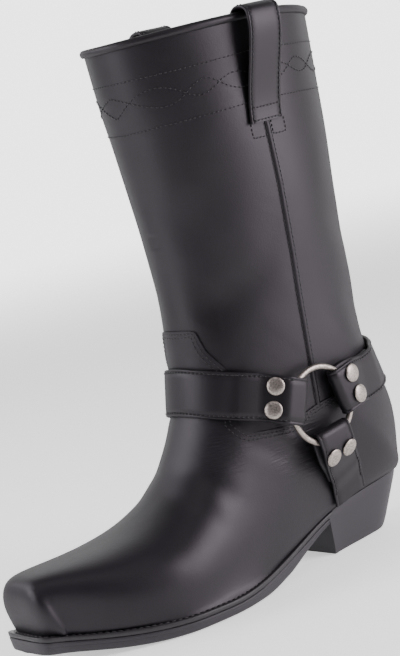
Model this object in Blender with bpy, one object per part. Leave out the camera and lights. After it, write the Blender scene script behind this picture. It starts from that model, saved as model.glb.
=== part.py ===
"""Black leather harness boot for the left foot, standing empty on its sole.

Metres, +Z up, toe towards -Y, the outer (lateral) side towards +X. The origin is the
middle of the heel's face on the floor, below the line that the heel's back lies on.
"""

import math
from collections import namedtuple

import bmesh
import bpy
import numpy as np
from mathutils import Vector
from mathutils.bvhtree import BVHTree

# Driving sizes of the sole and heel
SOLE_LENGTH = 0.310
BALL_WIDTH = 0.102
HEEL_LENGTH = 0.068
HEEL_TUCK = 0.0165
HEEL_SIDE_TUCK = 0.0075
HEEL_ROUND = 0.036
TOE_CORNER = 0.013
WAIST_CURVE = 0.0010
LEDGE = 0.005
WELT_THICK = 0.0032
WELT_REACH = 0.012
INSOLE_THICK = 0.003
INSOLE_EASE = 0.0022

# Driving sizes of the upper
BOOT_HEIGHT = 0.368
UPPER_WALL = 0.0018
OVERLAY_RISE = 0.0012
RIM_DIP_FRONT = 0.0018
RIM_DIP_BACK = 0.007
TAB_HEIGHT = 0.47283 * BOOT_HEIGHT
SEAM_WIDTH = 0.0055
BINDING_DEPTH = 0.0045
BINDING_THICK = 0.0009

# Driving sizes of the harness and the pull loops
STRAP_WIDTH = 0.031
LOW_STRAP_WIDTH = 0.0285
STRAP_THICK = 0.0023
STRAP_TAIL = 0.031
RING_RADIUS = 0.0252
RING_WIRE = 0.0040
RING_Y = -0.0400
RING_Z = 0.29212 * BOOT_HEIGHT
STUD_WIDTH = 0.0120
STUD_RISE = 0.0018
STUD_PITCH = 0.50
FRONT_STUD = 0.0120
BACK_STUD = 0.0040
LOW_STUD = 0.0090
LOW_EASE = 0.90
LOOP_FOOT = BOOT_HEIGHT - 0.0715
SEAM_TOP = LOOP_FOOT - 0.0025
LOOP_WIDTH = 0.027
LOOP_THICK = 0.0022
LOOP_LOW_Y = -0.0335
LOOP_LEAN = 0.0090

# Fits and the fineness of the faceted forms
GAP = 0.0003
REST = 0.0005
SEAT = 0.0005
SIDE_COLUMNS = 12
ROW_STEPS = 2

HEEL_BACK = HEEL_LENGTH / 2 + HEEL_TUCK
HEEL_BREAST = -HEEL_LENGTH / 2
TOE_FRONT = HEEL_BACK - SOLE_LENGTH
RIM_HEIGHT = BOOT_HEIGHT - 2 * BINDING_THICK
AXIS_Y = -0.032

# The sole's edge: share of the length from the toe, reach of each side from the boot's
# centre line as a share of the ball width, share of the ledge, and the height of the
# top and the underside as shares of the boot's height.
Edge = namedtuple("Edge", "along lateral medial ledge top under")
EDGES = [
    Edge(0.000, 0.113, 0.358, 1.00, 0.0585, 0.0270),
    Edge(0.050, 0.147, 0.368, 1.00, 0.0490, 0.0195),
    Edge(0.090, 0.235, 0.387, 0.90, 0.0425, 0.0135),
    Edge(0.150, 0.377, 0.425, 0.80, 0.0350, 0.0060),
    Edge(0.220, 0.495, 0.441, 0.70, 0.0293, 0.0012),
    Edge(0.280, 0.552, 0.438, 0.62, 0.0270, 0.0000),
    Edge(0.330, 0.566, 0.424, 0.60, 0.0262, 0.0000),
    Edge(0.380, 0.568, 0.402, 0.60, 0.0258, 0.0000),
    Edge(0.470, 0.515, 0.348, 0.55, 0.0304, 0.0010),
    Edge(0.560, 0.431, 0.304, 0.45, 0.0429, 0.0122),
    Edge(0.650, 0.353, 0.296, 0.30, 0.0606, 0.0368),
    Edge(0.728, 0.304, 0.309, 0.15, 0.0770, 0.0570),
    Edge(0.820, 0.288, 0.324, 0.10, 0.0902, 0.0720),
    Edge(0.900, 0.282, 0.328, 0.10, 0.0984, 0.0800),
    Edge(1.000, 0.270, 0.324, 0.10, 0.1060, 0.0880),
]

# Sections of the upper. Each lies in a plane that holds the left-right direction and
# runs from the base (on the sole's feather line, then up the back) to the ridge (down
# the front). Along: share of the sole's length from the toe. Up: share of the boot's
# height, above the sole for the base. Reaches and ridge_x: shares of the ball width.
# Widest: how far up the section its widest point is. Crown and tuck: the roundness
# above and below that point, 2 for an ellipse and more for a squarer curve.
Section = namedtuple(
    "Section", "name base_along base_up ridge_along ridge_up lateral medial ridge_x widest crown tuck"
)
SECTIONS = [
    Section("toe edge", 0.0516, 0.000, 0.020, 0.056, 0.110, 0.330, -0.108, 0.00, 4.0, 2.0),
    Section("toe wall", 0.0530, 0.000, 0.009, 0.103, 0.128, 0.339, -0.108, 0.10, 4.0, 2.0),
    Section("toe top", 0.0560, 0.000, 0.014, 0.135, 0.134, 0.349, -0.108, 0.16, 3.8, 2.0),
    Section("toe brow", 0.0710, 0.000, 0.040, 0.151, 0.154, 0.364, -0.108, 0.22, 3.4, 2.0),
    Section("toe box", 0.1270, 0.000, 0.115, 0.154, 0.296, 0.417, -0.083, 0.26, 2.9, 2.0),
    Section("vamp", 0.2150, 0.000, 0.224, 0.161, 0.451, 0.446, -0.044, 0.26, 2.5, 2.0),
    Section("ball", 0.3180, 0.000, 0.331, 0.188, 0.505, 0.416, -0.010, 0.25, 2.3, 1.9),
    Section("throat", 0.4240, 0.000, 0.415, 0.245, 0.477, 0.379, 0.010, 0.25, 2.2, 1.8),
    Section("instep", 0.5340, 0.000, 0.473, 0.327, 0.440, 0.371, 0.010, 0.30, 2.1, 1.6),
    Section("waist", 0.6690, 0.000, 0.498, 0.416, 0.432, 0.388, 0.000, 0.38, 2.1, 1.4),
    Section("heel front", 0.8020, 0.000, 0.506, 0.484, 0.447, 0.418, 0.000, 0.46, 2.1, 1.4),
    Section("heel side", 0.9110, 0.000, 0.510, 0.530, 0.468, 0.439, 0.000, 0.50, 2.1, 1.6),
    Section("heel turn", 0.9640, 0.000, 0.511, 0.560, 0.480, 0.451, 0.000, 0.51, 2.1, 1.9),
    Section("heel curl", 0.9880, 0.000, 0.511, 0.582, 0.485, 0.456, 0.000, 0.52, 2.1, 2.0),
    Section("heel back", 0.9945, 0.000, 0.510, 0.606, 0.490, 0.461, 0.000, 0.52, 2.1, 2.1),
    Section("counter", 1.0190, 0.082, 0.506, 0.644, 0.495, 0.471, 0.000, 0.52, 2.1, 2.2),
    Section("ankle", 0.9840, 0.166, 0.505, 0.690, 0.500, 0.480, 0.000, 0.52, 2.15, 2.2),
    Section("low shaft", 0.9660, 0.261, 0.503, 0.736, 0.510, 0.495, 0.000, 0.52, 2.2, 2.2),
    Section("shaft", 0.9685, 0.375, 0.498, 0.791, 0.525, 0.515, 0.000, 0.51, 2.2, 2.2),
    Section("mid shaft", 0.9750, 0.514, 0.492, 0.842, 0.539, 0.529, 0.000, 0.50, 2.2, 2.2),
    Section("high shaft", 0.9895, 0.663, 0.484, 0.891, 0.544, 0.539, 0.000, 0.50, 2.2, 2.2),
    Section("rim", 1.0025, 0.889, 0.474, 0.995, 0.544, 0.539, 0.000, 0.50, 2.2, 2.2),
]
HEEL_ROW = [section.name for section in SECTIONS].index("heel back")

# The vamp's and counter's upper edge seen from the side, from the top of the front tab
# down its side, under the front strap, back below the ring and up under the back strap:
# along as a share of the sole's length from the toe, up as a share of the tab's height.
Corner = namedtuple("Corner", "along up")
VAMP_LINE = [
    Corner(0.5170, 1.000),
    Corner(0.5195, 0.974),
    Corner(0.5230, 0.922),
    Corner(0.5290, 0.887),
    Corner(0.5400, 0.848),
    Corner(0.5370, 0.750),
    Corner(0.5310, 0.680),
    Corner(0.5290, 0.642),
    Corner(0.5400, 0.604),
    Corner(0.5500, 0.583),
    Corner(0.5950, 0.578),
    Corner(0.6570, 0.570),
    Corner(0.6820, 0.600),
]
VAMP_LINE_BACK = [
    Corner(0.7500, 0.621),
    Corner(0.8400, 0.640),
    Corner(1.1000, 0.660),
]

# The side seam's middle line, seen from the side, in the same shares
SEAM_LINE = [
    Corner(0.7235, 0.600),
    Corner(0.7240, 0.720),
    Corner(0.7310, 0.940),
    Corner(0.7330, 1.210),
    Corner(0.7290, 1.550),
    Corner(0.7270, 1.690),
]

# Routes of the straps away from the ring. Turn: degrees round the shaft from the outer
# side, front positive. Along: share of the sole's length from the toe. Up: share of the
# boot's height.
Turn = namedtuple("Turn", "turn up")
FRONT_ROUTE = [Turn(41, 0.329), Turn(52, 0.341), Turn(65, 0.353), Turn(78, 0.363), Turn(90, 0.367)]
BACK_ROUTE = [Turn(-33, 0.308), Turn(-48, 0.314), Turn(-66, 0.319), Turn(-90, 0.322)]
LOW_ROUTE = [Corner(0.745, 0.200), Corner(0.765, 0.158), Corner(0.780, 0.128), Corner(0.788, 0.106)]

# Directions from the ring's middle to its three straps, and where along a strap's
# tail its folded end has stations, as shares of the tail's length
FRONT_WAY = np.array([0.0, -0.930, 0.368])
BACK_WAY = np.array([0.0, 0.975, 0.222])
LOW_WAY = np.array([0.0, 0.130, -0.9915])
FOLD_SHARES = [0.08, 0.17, 0.26, 0.35, 0.44, 0.54, 0.66, 0.82, 1.00]

# Pull loop, seen from the front of its own width: stand-off from the shaft's outer face
# and height above the loop's foot, both as shares of the loop's height
Bend = namedtuple("Bend", "off up")
LOOP_HEIGHT = 0.0745
LOOP_ROUTE = [
    Bend(0.020, 0.000),
    Bend(0.020, 0.130),
    Bend(0.045, 0.300),
    Bend(0.100, 0.520),
    Bend(0.150, 0.740),
    Bend(0.155, 0.880),
    Bend(0.120, 0.970),
    Bend(0.030, 1.000),
    Bend(-0.050, 0.980),
    Bend(-0.105, 0.890),
    Bend(-0.112, 0.740),
    Bend(-0.085, 0.590),
    Bend(-0.060, 0.450),
    Bend(-0.058, 0.300),
]


def clear_scene():
    for obj in list(bpy.data.objects):
        bpy.data.objects.remove(obj, do_unlink=True)


def make_material(name, colour, roughness, metallic=0.0):
    material = bpy.data.materials.new(name)
    material.use_nodes = True
    shader = material.node_tree.nodes["Principled BSDF"]
    shader.inputs["Base Color"].default_value = (*colour, 1.0)
    shader.inputs["Roughness"].default_value = roughness
    shader.inputs["Metallic"].default_value = metallic
    material.diffuse_color = (*colour, 1.0)
    return material


def smooth_curve(knots, values, at):
    """A natural cubic spline through the values of a table's column."""
    knots = np.asarray(knots, float)
    values = np.asarray(values, float)
    at = np.asarray(at, float)
    count = len(knots)
    step = np.diff(knots)
    matrix = np.eye(count)
    right = np.zeros(count)
    for i in range(1, count - 1):
        matrix[i, i - 1 : i + 2] = step[i - 1], 2 * (step[i - 1] + step[i]), step[i]
        slope_after = (values[i + 1] - values[i]) / step[i]
        slope_before = (values[i] - values[i - 1]) / step[i - 1]
        right[i] = 6 * (slope_after - slope_before)
    bend = np.linalg.solve(matrix, right)
    k = np.clip(np.searchsorted(knots, at, side="right") - 1, 0, count - 2)
    after = at - knots[k]
    before = knots[k + 1] - at
    cubic = (bend[k] * before**3 + bend[k + 1] * after**3) / (6 * step[k])
    line_before = (values[k] / step[k] - bend[k] * step[k] / 6) * before
    line_after = (values[k + 1] / step[k] - bend[k + 1] * step[k] / 6) * after
    return cubic + line_before + line_after


def steady_curve(knots, values, at):
    """A cubic curve that never overshoots the values of a table's column."""
    knots = np.asarray(knots, float)
    values = np.asarray(values, float)
    at = np.asarray(at, float)
    step = np.diff(knots)
    slope = np.diff(values) / step
    tangent = np.zeros(len(knots))
    tangent[0] = slope[0]
    tangent[-1] = slope[-1]
    for i in range(1, len(knots) - 1):
        if slope[i - 1] * slope[i] > 0:
            left = 2 * step[i] + step[i - 1]
            right = step[i] + 2 * step[i - 1]
            tangent[i] = (left + right) / (left / slope[i - 1] + right / slope[i])
    k = np.clip(np.searchsorted(knots, at, side="right") - 1, 0, len(knots) - 2)
    t = (at - knots[k]) / step[k]
    start = (1 + 2 * t) * (1 - t) ** 2 * values[k] + t * (1 - t) ** 2 * step[k] * tangent[k]
    end = t * t * (3 - 2 * t) * values[k + 1] + t * t * (t - 1) * step[k] * tangent[k + 1]
    return start + end


def column(table, name):
    return np.array([getattr(row, name) for row in table], float)


def along_to_y(along):
    return TOE_FRONT + np.asarray(along, float) * SOLE_LENGTH


def y_to_along(y):
    return (np.asarray(y, float) - TOE_FRONT) / SOLE_LENGTH


def edge_value(name, y):
    return smooth_curve(column(EDGES, "along"), column(EDGES, name), np.clip(y_to_along(y), 0, 1))


def sole_top(y):
    return BOOT_HEIGHT * edge_value("top", y)


def sole_under(y):
    """Height of the sole's underside, flat on the floor at the ball."""
    return BOOT_HEIGHT * np.maximum(
        steady_curve(column(EDGES, "along"), column(EDGES, "under"), np.clip(y_to_along(y), 0, 1)), 0.0
    )


def edge_inset(y, ledge, extra):
    return LEDGE * ledge * edge_value("ledge", y) + extra


def reach(y, ledge=0.0, extra=0.0):
    """Lateral and medial x of the sole's edge, drawn in by its ledge and a further inset."""
    y = np.asarray(y, float)
    inset = edge_inset(y, ledge, extra)
    lateral = BALL_WIDTH * edge_value("lateral", y) - inset
    medial = -BALL_WIDTH * edge_value("medial", y) + inset
    front = TOE_FRONT + float(edge_inset(TOE_FRONT, ledge, extra))
    back = HEEL_BACK - float(edge_inset(HEEL_BACK, ledge, extra))
    toe_start = TOE_FRONT + TOE_CORNER
    heel_start = HEEL_BACK - HEEL_ROUND
    toe_share = np.clip((toe_start - y) / (toe_start - front), 0, 1)
    heel_share = np.clip((y - heel_start) / (back - heel_start), 0, 1)
    toe_shut = (1 - toe_share**4.0) ** (1 / 4.0)
    heel_shut = (1 - heel_share**2.4) ** (1 / 2.4)
    shut = np.minimum(toe_shut, heel_shut)
    middle = np.where(y_to_along(y) > 0.6, 0.0, (lateral + medial) / 2)
    return middle + (lateral - middle) * shut, middle + (medial - middle) * shut


def edge_stations(ledge=0.0, extra=0.0, start=None, end=None, count=34):
    """Stations in y along the sole, close together where the toe and heel turn."""
    front = TOE_FRONT + float(edge_inset(TOE_FRONT, ledge, extra))
    back = HEEL_BACK - float(edge_inset(HEEL_BACK, ledge, extra))
    toe_start = TOE_FRONT + TOE_CORNER
    heel_start = HEEL_BACK - HEEL_ROUND
    stations = []
    if start is None:
        for angle in np.linspace(0, math.pi / 2, 9)[:-1]:
            stations.append(toe_start - (toe_start - front) * math.cos(angle) ** (2 / 4.0))
        start = toe_start
    straight_end = heel_start if end is None else end
    stations.extend(np.linspace(start, straight_end, count))
    if end is None:
        for angle in np.linspace(0, math.pi / 2, 10)[1:]:
            stations.append(heel_start + (back - heel_start) * math.sin(angle) ** (2 / 2.4))
    return np.array(stations)


def new_object(name, verts, faces, material=None):
    """A closed mesh with its faces pointing out, shaded smooth up to its corners."""
    mesh = bpy.data.meshes.new(name)
    bm = bmesh.new()
    made = [bm.verts.new([float(value) for value in vert]) for vert in verts]
    for face in faces:
        ring = []
        for index in face:
            if made[index] not in ring:
                ring.append(made[index])
        if len(ring) >= 3:
            bm.faces.new(ring)
    loose = [vert for vert in bm.verts if not vert.link_faces]
    bmesh.ops.delete(bm, geom=loose, context="VERTS")
    bmesh.ops.triangulate(bm, faces=bm.faces[:])
    bmesh.ops.recalc_face_normals(bm, faces=bm.faces[:])
    bm.to_mesh(mesh)
    bm.free()
    mesh.shade_smooth()
    mesh.set_sharp_from_angle(angle=math.radians(35))
    obj = bpy.data.objects.new(name, mesh)
    bpy.context.scene.collection.objects.link(obj)
    if material is not None:
        mesh.materials.append(material)
    return obj


def as_helper(obj):
    obj.hide_render = True
    obj.display_type = "WIRE"
    return obj


def add_boolean(obj, operation, helper):
    modifier = obj.modifiers.new(operation.title(), "BOOLEAN")
    modifier.operation = operation
    modifier.solver = "EXACT"
    modifier.object = helper
    return modifier


def section_table(steps):
    """The section table's columns, in metres, at evenly stepped rows."""
    last = len(SECTIONS) - 1
    knots = np.arange(last + 1)
    rows = np.linspace(0, last, last * steps + 1)
    base_y = along_to_y(column(SECTIONS, "base_along"))
    base_y[0] = TOE_FRONT + TOE_CORNER
    base_y[HEEL_ROW] = HEEL_BACK - float(edge_inset(HEEL_BACK, 1.0, OVERLAY_RISE))
    base_up = BOOT_HEIGHT * column(SECTIONS, "base_up")
    base_up[-1] = RIM_HEIGHT - float(sole_top(HEEL_BACK)) - SEAT
    ridge_y = along_to_y(column(SECTIONS, "ridge_along"))
    ridge_y[0] = TOE_FRONT + float(edge_inset(TOE_FRONT, 1.0, OVERLAY_RISE))
    ridge_z = BOOT_HEIGHT * column(SECTIONS, "ridge_up")
    ridge_z[0] = float(sole_top(ridge_y[0])) + SEAT
    ridge_z[-1] = RIM_HEIGHT
    lateral = BALL_WIDTH * column(SECTIONS, "lateral")
    medial = -BALL_WIDTH * column(SECTIONS, "medial")
    first_lateral, first_medial = reach(base_y[0], 1.0, OVERLAY_RISE)
    lateral[0] = float(first_lateral)
    medial[0] = float(first_medial)
    ridge_x = BALL_WIDTH * column(SECTIONS, "ridge_x")
    ridge_x[0] = (lateral[0] + medial[0]) / 2
    return {
        "rows": rows,
        "base_y": steady_curve(knots, base_y, rows),
        "base_up": steady_curve(knots, base_up, rows),
        "ridge_y": smooth_curve(knots, ridge_y, rows),
        "ridge_z": smooth_curve(knots, ridge_z, rows),
        "lateral": smooth_curve(knots, lateral, rows),
        "medial": smooth_curve(knots, medial, rows),
        "ridge_x": smooth_curve(knots, ridge_x, rows),
        "widest": np.clip(smooth_curve(knots, column(SECTIONS, "widest"), rows), 0, 1),
        "crown": smooth_curve(knots, column(SECTIONS, "crown"), rows),
        "tuck": smooth_curve(knots, column(SECTIONS, "tuck"), rows),
    }


def section_side(foot, wide, top, height, widest, crown, tuck, columns):
    """One side of a section from its base to its ridge, evenly spaced along its length."""
    angle = np.linspace(0, math.pi / 2, 60)
    low_x = foot + (wide - foot) * np.sin(angle) ** (2 / tuck)
    low_r = widest * height * (1 - np.cos(angle) ** (2 / tuck))
    high_x = top + (wide - top) * np.cos(angle) ** (2 / crown)
    high_r = widest * height + (1 - widest) * height * np.sin(angle) ** (2 / crown)
    x = np.concatenate([low_x, high_x[1:]])
    r = np.concatenate([low_r, high_r[1:]])
    length = np.concatenate([[0], np.cumsum(np.hypot(np.diff(x), np.diff(r)))])
    wanted = np.linspace(0, length[-1], columns + 1)
    return np.interp(wanted, length, x), np.interp(wanted, length, r)


def upper_grid(steps, columns):
    """Points of the upper's face: a row per section, columns from lateral base over to medial."""
    table = section_table(steps)
    weld = HEEL_ROW * steps
    grid = []
    for i in range(len(table["rows"])):
        base_y = table["base_y"][i]
        base_z = float(sole_top(min(base_y, HEEL_BACK))) + table["base_up"][i] + SEAT
        lateral_foot, medial_foot = reach(base_y, 1.0, OVERLAY_RISE)
        if i >= weld:
            base_z = float(sole_top(HEEL_BACK)) + table["base_up"][i] + SEAT
            lateral_foot = medial_foot = 0.0
        run = np.array([table["ridge_y"][i] - base_y, table["ridge_z"][i] - base_z])
        height = float(np.hypot(*run))
        run = run / height
        shape = (table["widest"][i], table["crown"][i], table["tuck"][i], columns)
        top = table["ridge_x"][i]
        lateral = section_side(float(lateral_foot), table["lateral"][i], top, height, *shape)
        medial = section_side(float(medial_foot), table["medial"][i], top, height, *shape)
        x = np.concatenate([lateral[0], medial[0][::-1][1:]])
        r = np.concatenate([lateral[1], medial[1][::-1][1:]])
        grid.append(np.stack([x, base_y + run[0] * r, base_z + run[1] * r], 1))
    grid = np.array(grid)
    grid[weld:, -1] = grid[weld:, 0]
    foot = grid[:, 0]
    for i in range(weld):
        for j in (0, -1):
            grid[i, j, 2] = float(sole_top(foot[i, 1])) + SEAT
    grid[0, :, 2] = sole_top(grid[0, :, 1]) + SEAT
    middle_y = (grid[-1, :, 1].min() + grid[-1, :, 1].max()) / 2
    half = (grid[-1, :, 1].max() - grid[-1, :, 1].min()) / 2
    share = (grid[:, :, 1] - middle_y) / half
    dip = np.where(share < 0, RIM_DIP_FRONT, RIM_DIP_BACK) * np.clip(np.abs(share), 0, 1) ** 2
    grid[:, :, 2] -= dip * (grid[:, :, 2] / RIM_HEIGHT) ** 6
    return grid, weld


def grid_normals(grid, weld):
    """Outward directions of the face, welded up the back and level along the two edges."""
    along = np.gradient(grid, axis=0)
    across = np.gradient(grid, axis=1)
    across[weld:, 0] = across[weld:, -1] = grid[weld:, 1] - grid[weld:, -2]
    normal = np.cross(across, along)
    normal /= np.maximum(np.linalg.norm(normal, axis=2, keepdims=True), 1e-12)
    both = normal[weld:, 0] + normal[weld:, -1]
    normal[weld:, 0] = normal[weld:, -1] = both / np.linalg.norm(both, axis=1, keepdims=True)
    centre = np.array([0.0, AXIS_Y, 0.2])
    if np.sum(normal[-1] * (grid[-1] - centre)) < 0:
        normal = -normal
    edges = [(0, j) for j in range(grid.shape[1])]
    edges += [(i, j) for i in range(weld + 1) for j in (0, -1)]
    edges += [(-1, j) for j in range(grid.shape[1])]
    for i, j in edges:
        normal[i, j, 2] = 0.0
        normal[i, j] /= np.linalg.norm(normal[i, j])
    return normal


def offset_grid(grid, normal, distance):
    return grid + normal * distance


def shell_between(name, outer, inner, weld, material=None):
    """The wall between two grids, closed at the rim and along the sole's feather line."""
    rows, columns = outer.shape[:2]
    verts = np.concatenate([outer.reshape(-1, 3), inner.reshape(-1, 3)])

    def index(layer, i, j):
        if i >= weld and j == columns - 1:
            j = 0
        return layer * rows * columns + i * columns + j

    faces = []
    for layer in (0, 1):
        for i in range(rows - 1):
            for j in range(columns - 1):
                corners = [(i, j), (i, j + 1), (i + 1, j + 1), (i + 1, j)]
                faces.append([index(layer, *corner) for corner in corners])
    rim = [(rows - 1, j) for j in range(columns)]
    foot = [(0, j) for j in range(columns)]
    foot += [(i, columns - 1) for i in range(1, weld + 1)]
    foot += [(i, 0) for i in range(weld - 1, -1, -1)]
    for loop in (rim, foot):
        for first, second in zip(loop, loop[1:]):
            quad = [index(0, *first), index(0, *second), index(1, *second), index(1, *first)]
            if len(set(quad)) == 4:
                faces.append(quad)
    return new_object(name, verts, faces, material)


def prism(name, outline, half_width):
    """A side outline of (y, z) points carried right through the boot from side to side."""
    count = len(outline)
    verts = [(half_width, y, z) for y, z in outline] + [(-half_width, y, z) for y, z in outline]
    faces = [list(range(count)), list(range(count, 2 * count))]
    for i in range(count):
        j = (i + 1) % count
        faces.append([i, j, count + j, count + i])
    return new_object(name, verts, faces)


def line_points(line):
    return [(float(along_to_y(corner.along)), corner.up * TAB_HEIGHT) for corner in line]


def shaft_outline(front):
    """Side outline of the shaft's own leather, in front of the side seam or behind it."""
    seam = line_points(SEAM_LINE)
    half = SEAM_WIDTH / 2
    far = 0.5
    if front:
        edge = [(y - half, z) for y, z in seam]
        low = line_points(VAMP_LINE)
        top = [(edge[-1][0], SEAM_TOP), (AXIS_Y + 0.0, SEAM_TOP), (AXIS_Y + 0.0, far)]
        start = [(-far, far), (-far, TAB_HEIGHT)]
        return start + low + edge[:-1] + top
    edge = [(y + half, z) for y, z in seam]
    low = line_points(VAMP_LINE_BACK)
    top = [(far, far), (AXIS_Y + 0.0, far), (AXIS_Y + 0.0, SEAM_TOP), (edge[-1][0], SEAM_TOP)]
    return low + top + edge[:-1][::-1]


def make_upper(leather):
    grid, weld = upper_grid(ROW_STEPS, SIDE_COLUMNS)
    normal = grid_normals(grid, weld)
    outer = offset_grid(grid, normal, OVERLAY_RISE)
    inner = offset_grid(grid, normal, -UPPER_WALL)
    upper = shell_between("upper", outer, inner, weld, leather)
    skin_out = offset_grid(grid, normal, 4 * OVERLAY_RISE)
    skin_in = grid.copy()
    for skin in (skin_out, skin_in):
        skin[-1, :, 2] += 4 * OVERLAY_RISE
    for name, front in (("shaft_front_cut", True), ("shaft_back_cut", False)):
        cutter = as_helper(shell_between(name, skin_out, skin_in, weld))
        side = as_helper(prism(name + "_side", shaft_outline(front), 0.2))
        add_boolean(cutter, "INTERSECT", side)
        add_boolean(upper, "DIFFERENCE", cutter)
    return upper


def slab(name, y_top, sides_top, z_top, y_low, sides_low, z_low, material=None):
    """A plate between a top and a lower outline, a row of four corners per station."""
    verts = []
    for i in range(len(y_top)):
        verts.append((sides_top[0][i], y_top[i], z_top[i]))
        verts.append((sides_top[1][i], y_top[i], z_top[i]))
        verts.append((sides_low[1][i], y_low[i], z_low[i]))
        verts.append((sides_low[0][i], y_low[i], z_low[i]))
    faces = []
    for i in range(len(y_top) - 1):
        for k in range(4):
            a = 4 * i + k
            b = 4 * i + (k + 1) % 4
            faces.append([a, b, b + 4, a + 4])
    faces.append([0, 1, 2, 3])
    last = 4 * (len(y_top) - 1)
    faces.append([last, last + 1, last + 2, last + 3])
    obj = new_object(name, verts, faces, material)
    merge_close(obj)
    return obj


def merge_close(obj):
    """Close up the stations where the two sides of a plate meet in one point."""
    bm = bmesh.new()
    bm.from_mesh(obj.data)
    bmesh.ops.remove_doubles(bm, verts=bm.verts[:], dist=0.00002)
    bmesh.ops.dissolve_degenerate(bm, edges=bm.edges[:], dist=0.00001)
    bmesh.ops.recalc_face_normals(bm, faces=bm.faces[:])
    bm.to_mesh(obj.data)
    bm.free()


def heel_stations(extra):
    straight = np.linspace(HEEL_BREAST, HEEL_BACK - HEEL_ROUND, 6)[1:]
    return np.concatenate([straight, edge_stations(extra=extra, start=0.0, count=2)[2:]])


def make_outsole(rubber):
    """The sole and heel in one moulding: forepart, waist, breast and slanted heel block."""
    front = edge_stations(end=HEEL_BREAST, count=30)
    y_top = np.concatenate([front, heel_stations(0.0)])
    y_low = np.concatenate([edge_stations(extra=WAIST_CURVE, end=HEEL_BREAST, count=30), heel_stations(WAIST_CURVE)])
    top = reach(y_top)
    under = reach(y_low, extra=WAIST_CURVE)
    verts = []
    for i in range(len(y_top)):
        z_top = float(sole_top(y_top[i]))
        z_low = float(sole_under(y_low[i]))
        verts.append((float(top[0][i]), y_top[i], z_top))
        verts.append((float(top[1][i]), y_top[i], z_top))
        verts.append((float(under[1][i]), y_low[i], z_low))
        verts.append((float(under[0][i]), y_low[i], z_low))
    breast = len(front) - 1
    heel_first = len(verts)
    heel_share = (y_top[breast:] - HEEL_BREAST) / (HEEL_BACK - HEEL_BREAST)
    for i in range(breast, len(y_top)):
        share = heel_share[i - breast]
        floor_y = HEEL_BREAST + share * HEEL_LENGTH
        draw = HEEL_SIDE_TUCK * min(1.0, 0.15 + 1.3 * share)
        lateral = float(top[0][i])
        medial = float(top[1][i])
        width = max(lateral - medial, 1e-6)
        squeeze = max(0.0, 1 - 2 * draw / max(width, 2 * draw + 1e-6)) if width > 1e-5 else 0.0
        middle = (lateral + medial) / 2
        verts.append((middle + (lateral - middle) * squeeze, floor_y, 0.0))
        verts.append((middle + (medial - middle) * squeeze, floor_y, 0.0))
    faces = [[0, 1, 2, 3]]
    for i in range(len(y_top) - 1):
        a = 4 * i
        faces.append([a, a + 1, a + 5, a + 4])
        faces.append([a + 1, a + 2, a + 6, a + 5])
        faces.append([a + 3, a, a + 4, a + 7])
        if i < breast:
            faces.append([a + 2, a + 3, a + 7, a + 6])
        else:
            h = heel_first + 2 * (i - breast)
            faces.append([a + 3, a + 7, h + 2, h])
            faces.append([a + 2, h + 1, h + 3, a + 6])
            faces.append([h, h + 2, h + 3, h + 1])
    a = 4 * breast
    faces.append([a + 2, a + 3, heel_first, heel_first + 1])
    outsole = new_object("outsole", verts, faces, rubber)
    merge_close(outsole)
    return outsole


def welt_path(inset, end):
    """The welt's plan line from the lateral breast round the toe to the medial breast."""
    stations = edge_stations(extra=inset, end=end, count=30)
    lateral, medial = reach(stations, extra=inset)
    points = [(float(lateral[i]), float(stations[i])) for i in range(len(stations) - 1, -1, -1)]
    points += [(float(medial[i]), float(stations[i])) for i in range(1, len(stations))]
    return points


def strip_round(name, outer, inner, low, high, material=None):
    """A flat strip between two plan lines, its top and underside following the sole."""
    verts = []
    for plan in (outer, inner):
        for height in (low, high):
            for x, y in plan:
                verts.append((x, y, float(sole_top(y)) + height))
    count = len(outer)
    faces = []
    corners = [0, count, 3 * count, 2 * count]
    for i in range(count - 1):
        for k in range(4):
            a = corners[k] + i
            b = corners[(k + 1) % 4] + i
            faces.append([a, b, b + 1, a + 1])
    faces.append([corner for corner in corners])
    faces.append([corner + count - 1 for corner in corners])
    return new_object(name, verts, faces, material)


def make_welt(outsole, leather):
    end = HEEL_BREAST + 0.004
    welt = strip_round("welt", welt_path(0.0, end), welt_path(WELT_REACH, end), -WELT_THICK, 0.0, leather)
    cutter = strip_round(
        "welt_seat",
        welt_path(-0.004, end + GAP),
        welt_path(WELT_REACH + GAP, end + GAP),
        -WELT_THICK - GAP,
        0.006,
    )
    add_boolean(outsole, "DIFFERENCE", as_helper(cutter))
    return welt


def make_insole(board):
    extra = OVERLAY_RISE + UPPER_WALL + INSOLE_EASE
    y = edge_stations(ledge=1.0, extra=extra, count=26)
    sides = reach(y, 1.0, extra)
    z = sole_top(y) + SEAT
    return slab("insole", y, sides, z + INSOLE_THICK, y, sides, z, board)


def make_binding(leather):
    """Leather folded over the rim: a narrow channel all the way round the collar."""
    grid, weld = upper_grid(ROW_STEPS, SIDE_COLUMNS)
    rim = grid[-1, :-1]
    out = grid_normals(grid, weld)[-1, :-1]
    rise = grid[-1, :-1] - grid[-2, :-1]
    rise /= rise[:, 2:]
    back = -UPPER_WALL - GAP
    low = -BINDING_DEPTH
    thick = BINDING_THICK
    middle = -UPPER_WALL / 2
    profile = [
        (GAP, low),
        (GAP + thick, low),
        (GAP + thick * 1.25, GAP),
        (middle + 0.0012, GAP + thick * 1.3),
        (middle - 0.0012, GAP + thick * 1.3),
        (back - thick * 1.25, GAP),
        (back - thick, low),
        (back, low),
        (back, GAP),
        (GAP, GAP),
    ]
    verts = []
    for point, side, lean in zip(rim, out, rise):
        for off, up in profile:
            verts.append(point + side * off + lean * up)
    count = len(profile)
    faces = []
    for i in range(len(rim)):
        for k in range(count):
            a = i * count
            b = ((i + 1) % len(rim)) * count
            n = (k + 1) % count
            faces.append([a + k, a + n, b + n, b + k])
    return new_object("collar_binding", verts, faces, leather)


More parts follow.
